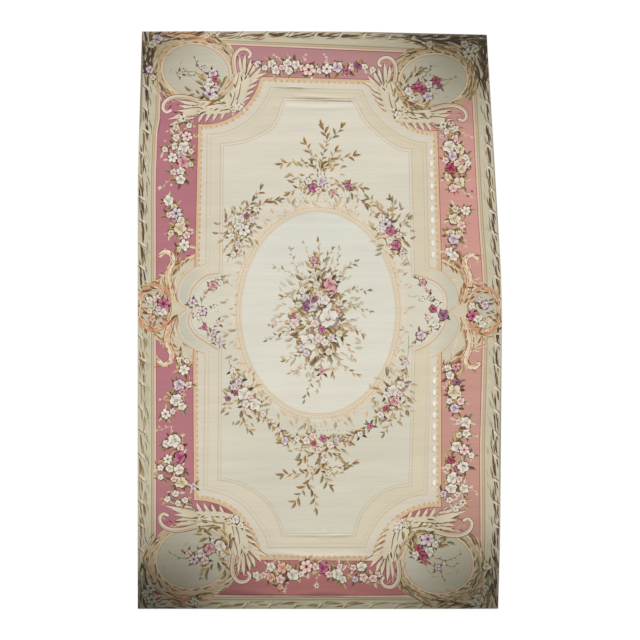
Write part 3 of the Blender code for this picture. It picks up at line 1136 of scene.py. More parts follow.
def layAcanthus(under):
    # First what lies beneath the medallions, then the rest
    line = mix(grounds["crimsonLine"], tones("dark")[2], 0.35)
    homeX, homeY = acanthus["home"]
    for place in medallions:
        centreX, centreY = place["centre"]
        flipX, flipY = (1 if centreX < 0 else -1), (1 if centreY > 0 else -1)

        def moved(points):
            return [(centreX + flipX * (x - homeX), centreY + flipY * (y - homeY)) for x, y in points]

        if under:
            for mass in acanthus["masses"]:
                face.lay(smooth(moved(mass), 2, True), plain(mix(*wools["scroll"][:2], 0.5)))
            continue
        for (leafWools, count, size), points in acanthus["strokes"][:5]:
            leavesAlong(moved(points), count, leafWools, size, 0.02, (5, 35), 0.22)
        for x0, y0, x1, y1, width, bend in acanthus["fingers"]:
            root, tip = moved(((x0, y0), (x1, y1)))
            shade = mix(wools["scroll"][2], line, chance.uniform(0.15, 0.6))
            finger(*root, *tip, width, "scroll", bend * flipX * flipY, shade)
        (leafWools, count, size), points = acanthus["strokes"][5]
        leavesAlong(moved(points), count, leafWools, size, 0.03, (5, 50))
        for points in acanthus["hooks"]:
            hook(moved(points), 0.042, "scroll", line)
    if not under:
        flowers(junctions, ("gold", "olive", "dark", "scroll"), 3, 0.025)


# Side cartouches: an orange scroll ring round a grey ground, with flowers. Lengths from the middle are
# mirrored.
cartouches = (
    {"side": -1, "centre": (-1.61, 0.05), "radii": (0.135, 0.175), "heads": (
        (-1.66, 0.13, 0.034, "white"), (-1.59, 0.14, 0.036, "blush"),
        (-1.525, 0.09, 0.06, "magenta", "anemone", "dark"),
        (-1.53, 0.01, 0.04, "white"), (-1.575, 0.04, 0.028, "lilac"), (-1.66, 0.02, 0.03, "cream"),
        (-1.63, -0.06, 0.036, "salmon"),
    )},
    {"side": 1, "centre": (1.62, 0.02), "radii": (0.13, 0.18), "heads": (
        (1.5, 0.07, 0.032, "white"), (1.51, -0.03, 0.054, "magenta", "anemone", "dark"),
        (1.56, -0.06, 0.04, "white"),
        (1.6, -0.11, 0.034, "white"), (1.66, -0.07, 0.03, "cream"), (1.63, 0.08, 0.04, "lilac"),
        (1.57, 0.13, 0.026, "lilac"),
    )},
)
cartoucheArm = ((1.42, 0.05), (1.455, 0.17), (1.485, 0.3), (1.465, 0.39), (1.435, 0.46), (1.455, 0.53),
    (1.515, 0.555), (1.56, 0.52))


def layCartouche(place):
    (x, y), (radiusX, radiusY), side = place["centre"], place["radii"], place["side"]
    line = mix(grounds["crimsonLine"], grounds["brownLine"], 0.5)
    for up in (1, -1):
        arm = [(side * armX, y + up * armY) for armX, armY in cartoucheArm]
        lean = (10, 45)
        leavesAlong([(armX - side * 0.035, armY) for armX, armY in arm[:6]], 14,
            ("gold", "cream", "tan", "ochre"), 0.1, 0.02, lean)
        hook(arm, 0.062, "cream", line, 0.62, "peach")
        leavesAlong(arm, 18, ("peach", "terracotta", "cream", "salmon"), 0.07, 0.02, (8, 40), 0.28)
        bow = arc(x, y, radiusX + 0.04, radiusY + 0.055, 90 * up - 60, 90 * up + 60, 6)
        face.lay(strip(bow, 0.03, 0.8), plain(mix(tones("terracotta")[1], tones("peach")[1], 0.6)))
        leavesAlong(bow, 14, ("terracotta", "peach", "gold", "brown", "scroll"), 0.08, 0.03, (5, 40), 0.28)
    for wider, tone in ((0.034, "brownLine"), (0.027, "orangeLine"), (0.01, "creamLine"),
        (0.0, "brownLine")):
        face.lay(oval(x, y, radiusX + wider, radiusY + wider, 36), plain(grounds[tone]))
    ground = mix(grounds["medallion"], wools["sage"][1], 0.4)
    face.lay(oval(x, y, radiusX - 0.006, radiusY - 0.006, 36), plain(ground))
    ring = oval(x, y, radiusX + 0.012, radiusY + 0.012, 36)
    leavesAlong(ring + ring[:1], 26, ("terracotta", "peach", "cream", "gold", "brown", "scroll"), 0.075,
        0.0, (0, 28), 0.26)
    foliage(x, y - 0.02, 0.1, 0.14, 26, ("olive", "brown", "tan", "gold", "terracotta"), 0.07, 0.0)
    flowers(place["heads"], ("olive", "brown", "gold"), 3, 0.03)


# Flowers of the side lobes
lobeFlowers = (
    (-1.24, 0.1, 0.046, "lilac", "anemone", "purple"), (-1.14, 0.02, 0.042, "lilac", "anemone", "purple"),
    (-1.2, -0.03, 0.034, "white"),
    (-1.04, 0.27, 0.046, "rose"), (-0.965, 0.3, 0.028, "white"), (-1.03, -0.2, 0.034, "lilac"),
    (-1.11, 0.2, 0.024, "rose"),
    (-0.98, -0.29, 0.036, "lilac"), (-1.12, -0.14, 0.028, "magenta"), (-1.02, 0.05, 0.03, "white"),
    (-0.99, -0.1, 0.028, "blush"),
    (1.22, -0.02, 0.05, "purple"), (1.12, 0.04, 0.04, "crimson"), (1.155, 0.095, 0.03, "white"),
    (1.07, -0.05, 0.028, "blush"),
    (1.1, 0.15, 0.03, "lilac"), (1.02, 0.3, 0.036, "rose"), (1.0, -0.22, 0.048, "lilac"),
    (1.01, 0.14, 0.026, "white"),
    (1.15, -0.12, 0.036, "white"), (1.06, 0.22, 0.022, "rose"),
)
lobeStems = (
    ((-1.16, 0.06), (-1.1, 0.22), (-0.95, 0.34)), ((-1.16, -0.04), (-1.08, -0.2), (-0.95, -0.32)),
    ((1.14, 0.07), (1.08, 0.22), (0.97, 0.34)), ((1.15, -0.06), (1.08, -0.18), (0.95, -0.27)),
)


def layLobeFlowers():
    fading.update(share=0.12, ground=grounds["fieldTop"])
    for points in lobeStems:
        sprig(points, "olive", 9, 0.055, 0.005, ("olive", "brown", "ochre", "terracotta"))
    flowers(lobeFlowers, ("olive", "brown", "dark", "sage"), 3, 0.035)
    fading.update(share=0.0)


# Garlands of the pink border: the flower heads in each, and its loose twigs
garlands = (
    {  # left
        "heads": (
            (-1.35, 1.94, 0.034, "white", "daisy", "olive"), (-1.29, 1.87, 0.03, "white"),
            (-1.42, 1.85, 0.034, "cream"),
            (-1.53, 1.73, 0.022, "rose"), (-1.42, 1.75, 0.038, "white"),
            (-1.31, 1.76, 0.052, "blush", "anemone", "crimson"),
            (-1.22, 1.77, 0.022, "rose"), (-1.53, 1.63, 0.032, "white"), (-1.43, 1.665, 0.038, "white"),
            (-1.34, 1.65, 0.06, "white"),
            (-1.27, 1.61, 0.03, "blush"), (-1.37, 1.58, 0.038, "lilac"),
            (-1.45, 1.55, 0.048, "white", "anemone", "olive"),
            (-1.34, 1.505, 0.062, "rose"), (-1.27, 1.48, 0.028, "cream"), (-1.44, 1.4, 0.034, "blush"),
            (-1.37, 1.41, 0.04, "white"),
            (-1.37, 1.325, 0.048, "white", "rose", "rose"), (-1.56, 1.24, 0.022, "white"),
            (-1.47, 1.27, 0.018, "white"),
            (-1.485, 1.115, 0.052, "white"), (-1.43, 1.05, 0.036, "cream"),
            (-1.41, 0.985, 0.058, "lilac", "anemone", "dark"),
            (-1.48, 0.97, 0.03, "blush"), (-1.36, 0.92, 0.04, "white"), (-1.37, 0.84, 0.062, "cream"),
            (-1.46, 0.79, 0.034, "cream"),
            (-1.3, 0.77, 0.038, "blush"), (-1.24, 0.82, 0.018, "white"),
            (-1.325, 0.67, 0.054, "white", "anemone", "olive"),
            (-1.38, 0.63, 0.028, "cream"), (-1.37, -0.46, 0.03, "white"), (-1.29, -0.47, 0.026, "white"),
            (-1.315, -0.555, 0.05, "white", "anemone", "gold"), (-1.36, -0.7, 0.058, "lilac"),
            (-1.27, -0.7, 0.036, "blush"),
            (-1.33, -0.77, 0.032, "rose"), (-1.39, -0.85, 0.062, "white"), (-1.33, -0.91, 0.04, "white"),
            (-1.49, -0.985, 0.048, "white", "anemone", "magenta"), (-1.42, -0.96, 0.03, "blush"),
            (-1.555, -1.12, 0.022, "gold"),
            (-1.48, -1.27, 0.04, "white"), (-1.4, -1.24, 0.068, "white"), (-1.34, -1.31, 0.036, "blush"),
            (-1.345, -1.4, 0.056, "magenta"),
            (-1.46, -1.42, 0.042, "white", "anemone", "dark"), (-1.53, -1.5, 0.03, "white"),
            (-1.44, -1.51, 0.04, "white"),
            (-1.35, -1.52, 0.05, "white"), (-1.53, -1.59, 0.03, "white"), (-1.33, -1.64, 0.058, "cream"),
            (-1.21, -1.68, 0.032, "lilac"),
            (-1.4, -1.61, 0.032, "blush"), (-1.38, -1.75, 0.034, "white"), (-1.29, -1.81, 0.032, "white"),
            (-1.46, -1.8, 0.03, "white"),
        ),
        "twigs": (((-1.45, 1.34), (-1.57, 1.24)), ((-1.44, -0.8), (-1.53, -0.84)),
            ((-1.42, -1.1), (-1.56, -1.14)), ((-1.4, 1.9), (-1.5, 1.82))),
    },
    {  # right
        "heads": (
            (1.24, 1.88, 0.034, "white", "daisy", "dark"), (1.36, 1.84, 0.032, "white"),
            (1.27, 1.81, 0.03, "white"), (1.22, 1.76, 0.026, "lilac"),
            (1.35, 1.74, 0.038, "blush"), (1.3, 1.66, 0.066, "white"),
            (1.4, 1.63, 0.05, "cream", "rose", "brown"), (1.33, 1.56, 0.048, "lilac"),
            (1.46, 1.55, 0.032, "white"), (1.26, 1.52, 0.034, "blush"), (1.48, 1.49, 0.03, "white"),
            (1.42, 1.43, 0.048, "cream"),
            (1.31, 1.44, 0.056, "crimson"), (1.37, 1.49, 0.03, "blush"), (1.28, 1.35, 0.04, "cream"),
            (1.39, 1.29, 0.062, "cream"),
            (1.33, 1.24, 0.044, "blush"), (1.52, 1.205, 0.018, "crimson"), (1.47, 1.16, 0.018, "crimson"),
            (1.35, 1.03, 0.038, "cream"),
            (1.455, 1.01, 0.046, "white", "anemone", "gold"), (1.34, 0.93, 0.058, "cream"),
            (1.41, 0.87, 0.042, "blush"),
            (1.3, 0.79, 0.042, "cream"), (1.38, 0.785, 0.036, "cream"), (1.33, 0.73, 0.056, "lilac"),
            (1.36, 0.66, 0.02, "crimson"),
            (1.28, 0.61, 0.04, "white"), (1.33, 0.56, 0.046, "white"), (1.26, -0.54, 0.038, "white"),
            (1.335, -0.525, 0.042, "rose", "anemone", "crimson"), (1.39, -0.56, 0.02, "magenta"),
            (1.28, -0.61, 0.044, "white"),
            (1.35, -0.68, 0.032, "purple"), (1.32, -0.77, 0.066, "cream"), (1.38, -0.86, 0.04, "blush"),
            (1.32, -0.93, 0.05, "lilac"),
            (1.27, -0.86, 0.03, "white"), (1.43, -1.06, 0.052, "white"), (1.36, -1.06, 0.032, "blush"),
            (1.43, -1.17, 0.04, "white"),
            (1.36, -1.19, 0.032, "cream"), (1.34, -1.3, 0.056, "white"),
            (1.41, -1.33, 0.052, "blush", "anemone", "magenta"),
            (1.48, -1.38, 0.03, "white"), (1.28, -1.43, 0.036, "crimson"), (1.34, -1.5, 0.032, "magenta"),
            (1.25, -1.49, 0.03, "cream"),
            (1.4, -1.49, 0.056, "white", "rose", "purple"), (1.29, -1.6, 0.056, "white"),
            (1.36, -1.61, 0.034, "blush"),
            (1.28, -1.7, 0.052, "white"), (1.4, -1.7, 0.046, "white"), (1.2, -1.75, 0.034, "lilac"),
            (1.34, -1.76, 0.03, "blush"),
            (1.26, -1.81, 0.034, "white"), (1.39, -1.83, 0.034, "white", "daisy", "dark"),
        ),
        "twigs": (((1.41, 1.22), (1.5, 1.16)), ((1.41, 0.84), (1.45, 0.67)),
            ((1.28, -0.66), (1.23, -0.72)), ((1.42, 1.8), (1.51, 1.76)),
                  ((1.44, -1.22), (1.52, -1.2)), ((1.46, -1.68), (1.52, -1.74))),
    },
    {  # far end
        "heads": (
            (-0.47, 2.5, 0.042, "white"), (-0.43, 2.435, 0.046, "white"), (-0.31, 2.5, 0.048, "white"),
            (-0.3, 2.43, 0.044, "white"),
            (-0.23, 2.49, 0.044, "white"), (-0.37, 2.46, 0.032, "blush"), (-0.16, 2.46, 0.036, "blush"),
            (-0.1, 2.44, 0.064, "blush", "anemone", "crimson"),
            (-0.54, 2.46, 0.03, "white"), (0.01, 2.43, 0.034, "white"),
            (0.08, 2.445, 0.054, "white", "anemone", "crimson"),
            (0.19, 2.465, 0.056, "lilac"), (0.28, 2.43, 0.036, "magenta"), (0.33, 2.47, 0.032, "blush"),
            (0.385, 2.475, 0.04, "purple", "poppy"),
            (0.46, 2.47, 0.032, "white"), (-0.42, 2.56, 0.02, "cream"), (-0.3, 2.57, 0.02, "white"),
            (-0.15, 2.54, 0.022, "blush"), (0.07, 2.56, 0.018, "white"),
        ),
        "twigs": (((0.1, 2.5), (0.06, 2.58)), ((-0.18, 2.5), (-0.14, 2.58)),
            ((0.42, 2.45), (0.56, 2.37)), ((-0.36, 2.52), (-0.44, 2.58))),
    },
    {  # near end
        "heads": (
            (-0.46, -2.44, 0.044, "white"), (-0.35, -2.45, 0.05, "salmon"),
            (-0.46, -2.54, 0.044, "salmon"), (-0.37, -2.56, 0.04, "blush"),
            (-0.37, -2.63, 0.03, "salmon"), (-0.25, -2.515, 0.06, "white"),
            (-0.29, -2.45, 0.032, "cream"), (-0.53, -2.52, 0.034, "blush"),
            (-0.12, -2.44, 0.062, "blush", "anemone", "crimson"), (-0.17, -2.51, 0.03, "white"),
            (0.04, -2.45, 0.058, "magenta"),
            (-0.03, -2.44, 0.036, "blush"), (-0.02, -2.62, 0.026, "white", "daisy", "olive"),
            (0.1, -2.51, 0.034, "blush"),
            (0.18, -2.51, 0.056, "white"), (0.23, -2.56, 0.036, "white"), (0.2, -2.44, 0.03, "blush"),
            (0.33, -2.45, 0.034, "blush"),
            (0.41, -2.44, 0.048, "white"), (0.43, -2.54, 0.04, "blush"), (0.35, -2.56, 0.032, "lilac"),
            (0.52, -2.55, 0.04, "blush"),
        ),
        "twigs": (((0.0, -2.5), (-0.03, -2.61)), ((0.3, -2.46), (0.28, -2.38)),
            ((-0.3, -2.58), (-0.32, -2.66)), ((0.48, -2.58), (0.6, -2.6))),
    },
)


def layGarlands():
    for garland in garlands:
        for x, y, radius, *_ in garland["heads"]:
            if radius > 0.034:
                leavesRound(x, y, radius, 4, ("dark", "brown", "olive", "crimson", "brown", "ochre"), 0.032)
        for points in garland["twigs"]:
            sprig(points, "cream", 4, 0.03)
        flowers(garland["heads"], ("gold", "ochre", "olive", "brown", "cream", "tan"), 4, 0.052)


# Diagonal posies outside the oval, and the sprays above and below it
fieldPosies = {
    "heads": (
        (-0.92, 0.91, 0.022, "magenta"), (-0.88, 0.89, 0.02, "magenta"), (-0.87, 0.83, 0.036, "cream"),
        (-0.78, 0.925, 0.05, "white"),
        (-0.71, 0.96, 0.026, "purple"), (-0.74, 0.82, 0.058, "white", "anemone", "dark"),
        (-0.655, 0.92, 0.032, "white"),
        (-0.8, 0.86, 0.04, "white"), (-0.86, 0.76, 0.032, "white"), (-0.8, 0.69, 0.028, "lilac"),
        (-0.84, 0.58, 0.03, "white"),
        (-0.62, 1.03, 0.03, "white"), (0.66, 0.88, 0.064, "lilac", "anemone", "dark"),
        (0.71, 0.81, 0.044, "magenta"),
        (0.62, 0.95, 0.036, "white"), (0.6, 0.83, 0.034, "white"), (0.86, 0.885, 0.022, "rose"),
        (0.765, 0.67, 0.048, "magenta"),
        (0.7, 0.72, 0.036, "white"), (0.79, 0.77, 0.032, "blush"), (0.69, 1.02, 0.022, "rose"),
        (0.82, 0.58, 0.03, "lilac"),
        (-0.73, -0.79, 0.064, "white"), (-0.78, -0.67, 0.036, "lilac"), (-0.83, -0.72, 0.034, "lilac"),
        (-0.81, -0.78, 0.026, "crimson"),
        (-0.62, -0.89, 0.056, "white"), (-0.71, -0.885, 0.04, "white"), (-0.88, -0.835, 0.026, "purple"),
        (-0.54, -0.98, 0.034, "white"),
        (-0.66, -0.83, 0.032, "blush"), (-0.47, -1.08, 0.024, "purple"), (-0.84, -0.56, 0.03, "white"),
        (0.72, -0.76, 0.058, "white"),
        (0.8, -0.7, 0.042, "white"), (0.73, -0.86, 0.044, "rose"), (0.66, -0.93, 0.03, "crimson"),
        (0.855, -0.72, 0.02, "magenta"),
        (0.66, -0.8, 0.034, "white"), (0.79, -0.79, 0.032, "blush"), (0.6, -0.99, 0.034, "white"),
        (0.84, -0.48, 0.03, "lilac"),
        (0.5, -1.1, 0.028, "magenta"), (-0.4, -1.14, 0.028, "white"), (0.4, -1.18, 0.028, "white"),
    ),
    "runs": (  # leafy stems that tie each posy into a garland
        ((-0.9, 0.5), (-0.82, 0.72), (-0.72, 0.92), (-0.56, 1.08), (-0.4, 1.12)),
        ((-0.78, 0.96), (-0.66, 1.1), (-0.58, 1.22)),
        ((0.9, 0.46), (0.8, 0.7), (0.68, 0.9), (0.6, 1.04), (0.5, 1.14)),
        ((0.66, 0.92), (0.74, 1.02), (0.72, 1.12)),
        ((-0.88, -0.46), (-0.8, -0.68), (-0.68, -0.88), (-0.5, -1.06), (-0.3, -1.2)),
        ((-0.72, -0.9), (-0.74, -1.04), (-0.68, -1.14)),
        ((0.88, -0.22), (0.86, -0.48), (0.76, -0.76), (0.6, -0.98), (0.42, -1.14), (0.26, -1.22)),
        ((0.7, -0.9), (0.72, -1.02), (0.64, -1.16)),
        ((-0.92, 0.9), (-0.86, 0.98)), ((-0.86, -0.82), (-0.92, -0.92)), ((0.84, -0.8), (0.86, -0.94)),
        ((0.8, 0.84), (0.88, 0.92)),
    ),
}
sprays = {
    "stems": (
        ((0.0, 1.3), (0.02, 1.45), (0.05, 1.6), (0.08, 1.72), (0.04, 1.86)),
        ((0.06, 1.46), (0.18, 1.53), (0.34, 1.56)),
        ((0.0, 1.42), (-0.12, 1.5), (-0.36, 1.49)), ((-0.02, 1.5), (-0.08, 1.58), (-0.12, 1.68)),
        ((0.08, 1.7), (0.15, 1.76), (0.22, 1.84)),
        ((0.1, 1.28), (0.28, 1.27), (0.43, 1.24)), ((0.26, 1.24), (0.36, 1.16), (0.45, 1.09)),
        ((-0.06, 1.28), (-0.16, 1.26), (-0.28, 1.2)),
        ((0.0, 1.4), (0.1, 1.5), (0.16, 1.6)), ((0.0, -1.3), (0.0, -1.45), (0.04, -1.57), (0.1, -1.67)),
        ((0.02, -1.45), (0.14, -1.5), (0.32, -1.47)), ((0.0, -1.48), (-0.12, -1.55), (-0.34, -1.56)),
        ((-0.04, -1.55), (-0.12, -1.66), (-0.22, -1.82)),
        ((-0.12, -1.64), (-0.05, -1.75), (-0.03, -1.88)), ((0.06, -1.24), (0.16, -1.22), (0.28, -1.26)),
        ((-0.08, -1.26), (-0.2, -1.24), (-0.34, -1.25)),
        ((0.02, -1.34), (0.12, -1.36), (0.2, -1.42)), ((0.04, -1.5), (0.16, -1.56), (0.24, -1.53)),
        ((-0.02, -1.36), (-0.1, -1.36), (-0.16, -1.42)),
    ),
    "heads": (
        (-0.03, 1.56, 0.026, "cream", "bud"), (0.03, 1.31, 0.056, "lilac"), (-0.06, 1.24, 0.042, "magenta"),
        (0.09, 1.25, 0.04, "white"),
        (0.0, 1.22, 0.034, "blush"), (-0.1, 1.31, 0.036, "white"), (0.29, 1.26, 0.032, "magenta"),
        (0.35, 1.25, 0.018, "crimson"),
        (0.42, 1.24, 0.016, "crimson"), (0.445, 1.1, 0.02, "magenta"), (0.15, 1.2, 0.03, "rose"),
        (-0.14, 1.2, 0.02, "rose"),
        (0.02, 1.38, 0.036, "white"), (-0.16, 1.27, 0.03, "cream"), (0.04, -1.22, 0.034, "magenta"),
        (-0.05, -1.27, 0.028, "crimson"),
        (-0.33, -1.24, 0.04, "lilac"), (0.05, -1.43, 0.032, "white"), (-0.06, -1.2, 0.036, "blush"),
        (0.11, -1.28, 0.038, "white"),
        (-0.12, -1.24, 0.036, "white"), (0.17, -1.23, 0.03, "lilac"), (0.3, -1.28, 0.022, "rose"),
        (-0.21, -1.22, 0.03, "white"),
        (0.0, -1.33, 0.034, "blush"), (-0.08, -1.52, 0.03, "cream"), (0.09, -1.55, 0.028, "cream"),
    ),
}


def layField():
    fading.update(share=0.08, ground=grounds["fieldTop"])
    gilded = ("ochre", "gold", "brown", "olive", "tan")
    for points in fieldPosies["runs"]:
        sprig(points, "olive", round(pathLength(points) / 0.035), 0.068, 0.005, gilded)
    for x, y in ((-0.8, 0.82), (0.72, 0.82), (-0.72, -0.84), (0.72, -0.82)):
        foliage(x, y, 0.2, 0.26, 44, ("olive", "ochre", "tan", "gold", "brown"), 0.072, 0.4)
    flowers(fieldPosies["heads"], gilded + ("dark",), 4, 0.042, 0.2)
    for points in sprays["stems"]:
        sprig(points, "ochre", max(3, round(pathLength(points) / 0.042)), 0.078, 0.006, gilded)
    foliage(0.0, 1.36, 0.28, 0.17, 40, gilded, 0.072, 0.4)
    foliage(0.0, -1.3, 0.28, 0.14, 38, gilded, 0.072, 0.4)
    flowers(sprays["heads"], gilded, 4, 0.042, 0.22)
    fading.update(share=0.0)


# The bouquet in the middle of the oval
bouquet = {
    "sprigs": (  # wool, leaves, their size, path
        ("ochre", 8, 0.075, ((0.02, 0.2), (0.03, 0.38), (-0.02, 0.54))),
        ("olive", 5, 0.05, ((0.03, 0.48), (0.08, 0.56), (0.13, 0.62))),
        ("olive", 8, 0.045, ((-0.1, 0.3), (-0.22, 0.44), (-0.28, 0.62))),
        ("tan", 8, 0.06, ((-0.08, 0.22), (-0.2, 0.22), (-0.34, 0.16))),
        ("tan", 7, 0.06, ((-0.12, 0.0), (-0.24, 0.02), (-0.36, -0.02))),
        ("rose", 6, 0.04, ((-0.15, -0.08), (-0.3, -0.07), (-0.47, -0.12))),
        ("brown", 8, 0.05, ((-0.14, -0.18), (-0.32, -0.18), (-0.5, -0.26))),
        ("olive", 8, 0.06, ((-0.12, -0.32), (-0.2, -0.42), (-0.32, -0.46))),
        ("olive", 11, 0.055, ((-0.02, -0.4), (-0.06, -0.62), (-0.14, -0.84))),
        ("tan", 8, 0.055, ((0.02, -0.4), (0.02, -0.58), (-0.01, -0.74))),
        ("tan", 7, 0.06, ((0.05, -0.38), (0.12, -0.48), (0.14, -0.6))),
        ("tan", 9, 0.06, ((0.14, -0.34), (0.22, -0.5), (0.36, -0.6))),
        ("tan", 7, 0.055, ((-0.06, -0.44), (-0.16, -0.54), (-0.27, -0.58))),
        ("tan", 8, 0.06, ((0.16, -0.1), (0.28, -0.12), (0.42, -0.2))),
        ("peach", 7, 0.055, ((0.18, -0.22), (0.28, -0.32), (0.34, -0.44))),
        ("olive", 8, 0.05, ((0.16, 0.05), (0.34, 0.06), (0.5, 0.02))),
        ("olive", 9, 0.055, ((0.14, 0.14), (0.3, 0.22), (0.48, 0.22))),
        ("olive", 9, 0.055, ((0.14, 0.3), (0.24, 0.42), (0.36, 0.5))),
        ("tan", 8, 0.055, ((0.1, 0.33), (0.18, 0.48), (0.2, 0.62))),
        ("sage", 8, 0.05, ((-0.16, 0.3), (-0.28, 0.4), (-0.42, 0.44))),
        ("ochre", 5, 0.06, ((0.0, 0.5), (0.01, 0.6), (0.0, 0.7))),
        ("sage", 5, 0.05, ((-0.04, 0.48), (-0.1, 0.58), (-0.14, 0.68))),
    ),
    "heads": (
        (-0.05, 0.52, 0.036, "rose"), (0.14, 0.22, 0.042, "rose"), (0.11, 0.28, 0.064, "rose"),
        (-0.16, 0.22, 0.036, "white"),
        (0.06, 0.13, 0.048, "white"), (0.01, 0.19, 0.034, "blush"), (-0.13, 0.15, 0.04, "lilac"),
        (-0.07, 0.07, 0.06, "lilac", "rose", "purple"),
        (-0.13, 0.06, 0.038, "purple"), (-0.04, 0.13, 0.034, "purple", "poppy"),
        (-0.11, 0.11, 0.026, "purple"), (-0.24, -0.1, 0.05, "blush"), (-0.25, -0.03, 0.026, "magenta"),
        (0.18, 0.02, 0.036, "salmon"), (0.17, -0.09, 0.042, "white"), (0.02, -0.02, 0.046, "white"),
        (0.09, -0.05, 0.092, "white", "rose", "magenta"),
        (0.03, -0.16, 0.034, "magenta"), (-0.04, -0.1, 0.042, "blush"), (-0.15, -0.21, 0.044, "white"),
        (-0.09, -0.28, 0.084, "white", "rose", "dark"),
        (0.0, -0.25, 0.046, "blush"), (-0.06, -0.18, 0.024, "magenta"), (-0.17, -0.34, 0.038, "lilac"),
        (-0.12, -0.39, 0.036, "lilac"),
        (0.06, -0.29, 0.036, "white"), (0.03, -0.57, 0.034, "rose"), (-0.45, -0.13, 0.022, "rose"),
        (-0.48, -0.25, 0.022, "lilac"),
        (0.12, -0.24, 0.034, "lilac"), (0.21, -0.03, 0.024, "rose"), (-0.02, 0.28, 0.036, "cream"),
        (0.2, 0.1, 0.034, "cream"),
        (-0.2, 0.08, 0.034, "cream"), (0.1, -0.38, 0.034, "cream"), (0.2, -0.2, 0.034, "cream"),
        (-0.05, 0.38, 0.032, "cream"),
    ),
}


def layBouquet():
    fading.update(share=0.1, ground=grounds["ovalTop"])
    soft, strong = ("tan", "peach", "gold", "tan", "olive", "ochre"), ("gold", "ochre", "brown", "tan",
        "olive")
    foliage(0.0, -0.05, 0.42, 0.6, 150, soft, 0.08, 0.7, 0.1)
    for wool, count, size, points in bouquet["sprigs"]:
        sprig(points, wool, count, size, 0.004, (wool, wool, "tan", "ochre"))
    foliage(0.02, -0.12, 0.22, 0.32, 100, strong, 0.098, 0.15)
    foliage(-0.01, 0.34, 0.16, 0.18, 22, strong, 0.085, 0.3)
    flowers(bouquet["heads"], strong + ("dark",), 5, 0.048, 0.4)
    fading.update(share=0.0)


# Dark leaves and flowers in the rug's four corners: paths that the leaves follow, and flower heads
cornerPieces = {
    "runs": (  # wools, count, size, spread, path
        (("dark", "dark", "brown"), 34, 0.13, 0.055, ((-1.71, 2.36), (-1.72, 2.58), (-1.72, 2.76))),
        (("dark", "brown", "terracotta"), 26, 0.12, 0.03, ((-1.7, 2.79), (-1.5, 2.785), (-1.22, 2.785))),
        (("terracotta", "ochre", "peach", "tan"), 16, 0.12, 0.025,
            ((-1.52, 2.74), (-1.38, 2.755), (-1.15, 2.75))),
        (("dark", "dark", "dark", "brown"), 40, 0.15, 0.035, ((0.8, 2.768), (1.2, 2.765), (1.62, 2.755))),
        (("dark", "dark", "dark", "brown"), 36, 0.14, 0.05, ((1.64, 2.22), (1.645, 2.48), (1.64, 2.74))),
        (("dark", "olive", "brown"), 22, 0.1, 0.06, ((1.38, 2.7), (1.54, 2.66), (1.58, 2.5))),
        (("dark", "dark", "olive"), 34, 0.13, 0.055, ((-1.7, -2.36), (-1.695, -2.58), (-1.68, -2.78))),
        (("dark", "olive", "brown"), 26, 0.11, 0.05, ((-1.66, -2.8), (-1.45, -2.79), (-1.18, -2.78))),
        (("brown", "ochre", "terracotta"), 14, 0.12, 0.03,
            ((-1.46, -2.7), (-1.34, -2.745), (-1.16, -2.74))),
        (("dark", "dark", "brown", "olive"), 34, 0.13, 0.05, ((1.66, -2.3), (1.66, -2.55), (1.66, -2.78))),
        (("olive", "brown", "dark"), 24, 0.11, 0.05, ((1.64, -2.78), (1.45, -2.78), (1.18, -2.785))),
    ),
    "heads": (
        (-1.62, 2.755, 0.052, "lilac", "rose", "dark"), (-1.67, 2.7, 0.04, "scroll", "rose", "dark"),
        (-1.69, 2.44, 0.038, "lilac", "rose", "dark"),
        (-1.66, 2.36, 0.032, "scroll"), (-1.12, 2.785, 0.026, "blush"),
        (1.5, 2.6, 0.056, "sage", "anemone", "dark"),
        (1.57, 2.66, 0.04, "sage", "rose", "dark"), (1.46, 2.7, 0.038, "sage", "rose", "dark"),
        (1.11, 2.7, 0.036, "sage"),
        (-1.61, -2.64, 0.046, "sage", "anemone", "dark"), (-1.6, -2.75, 0.048, "sage", "anemone", "dark"),
        (-1.66, -2.69, 0.034, "scroll"),
        (-1.19, -2.765, 0.036, "sage", "anemone", "brown"), (1.53, -2.745, 0.054, "sage", "rose", "olive"),
        (1.61, -2.44, 0.04, "scroll"),
        (1.6, -2.64, 0.03, "sage", "rose", "dark"),
    ),
}


def layCornerPieces():
    for leafWools, count, size, spread, points in cornerPieces["runs"]:
        leavesAlong(points, count, leafWools, size, spread, (3, 26), 0.17, False)
    flowers(cornerPieces["heads"], ("dark", "olive", "brown"), 3, 0.04)


layOval()
layField()
layBouquet()
layLobeFlowers()
layAcanthus(True)
for place in medallions:
    layMedallion(place)
layAcanthus(False)
layGarlands()
for place in cartouches:
    layCartouche(place)
layCornerPieces()
print("pattern laid:", len(face.shapes), "shapes,", len(face.corners), "corners")


# The back shows the same grounds, without the flowers
def layBack():
    for path, tone in (
        (inset(edgeFrame(0.1), 0.0), "outerBand"), (edgeFrame(0.0), "pinkLeft"),
        (innerFrame("orange"), "orangeBand"), (innerFrame("outerTan"), "creamBand"),
        (innerFrame("innerTan"), "fieldTop"),
    ):
        back.lay(path, plain(mix(grounds[tone], grounds["backTint"], 0.35)))
    for place in medallions:
        x, y = place["centre"]
        outline = oval(x, y, place["radii"][0] + 0.04, place["radii"][1] + 0.04, 40, place["tilt"])
        back.lay(outline, plain(mix(grounds["medallion"], grounds["backTint"], 0.35)))
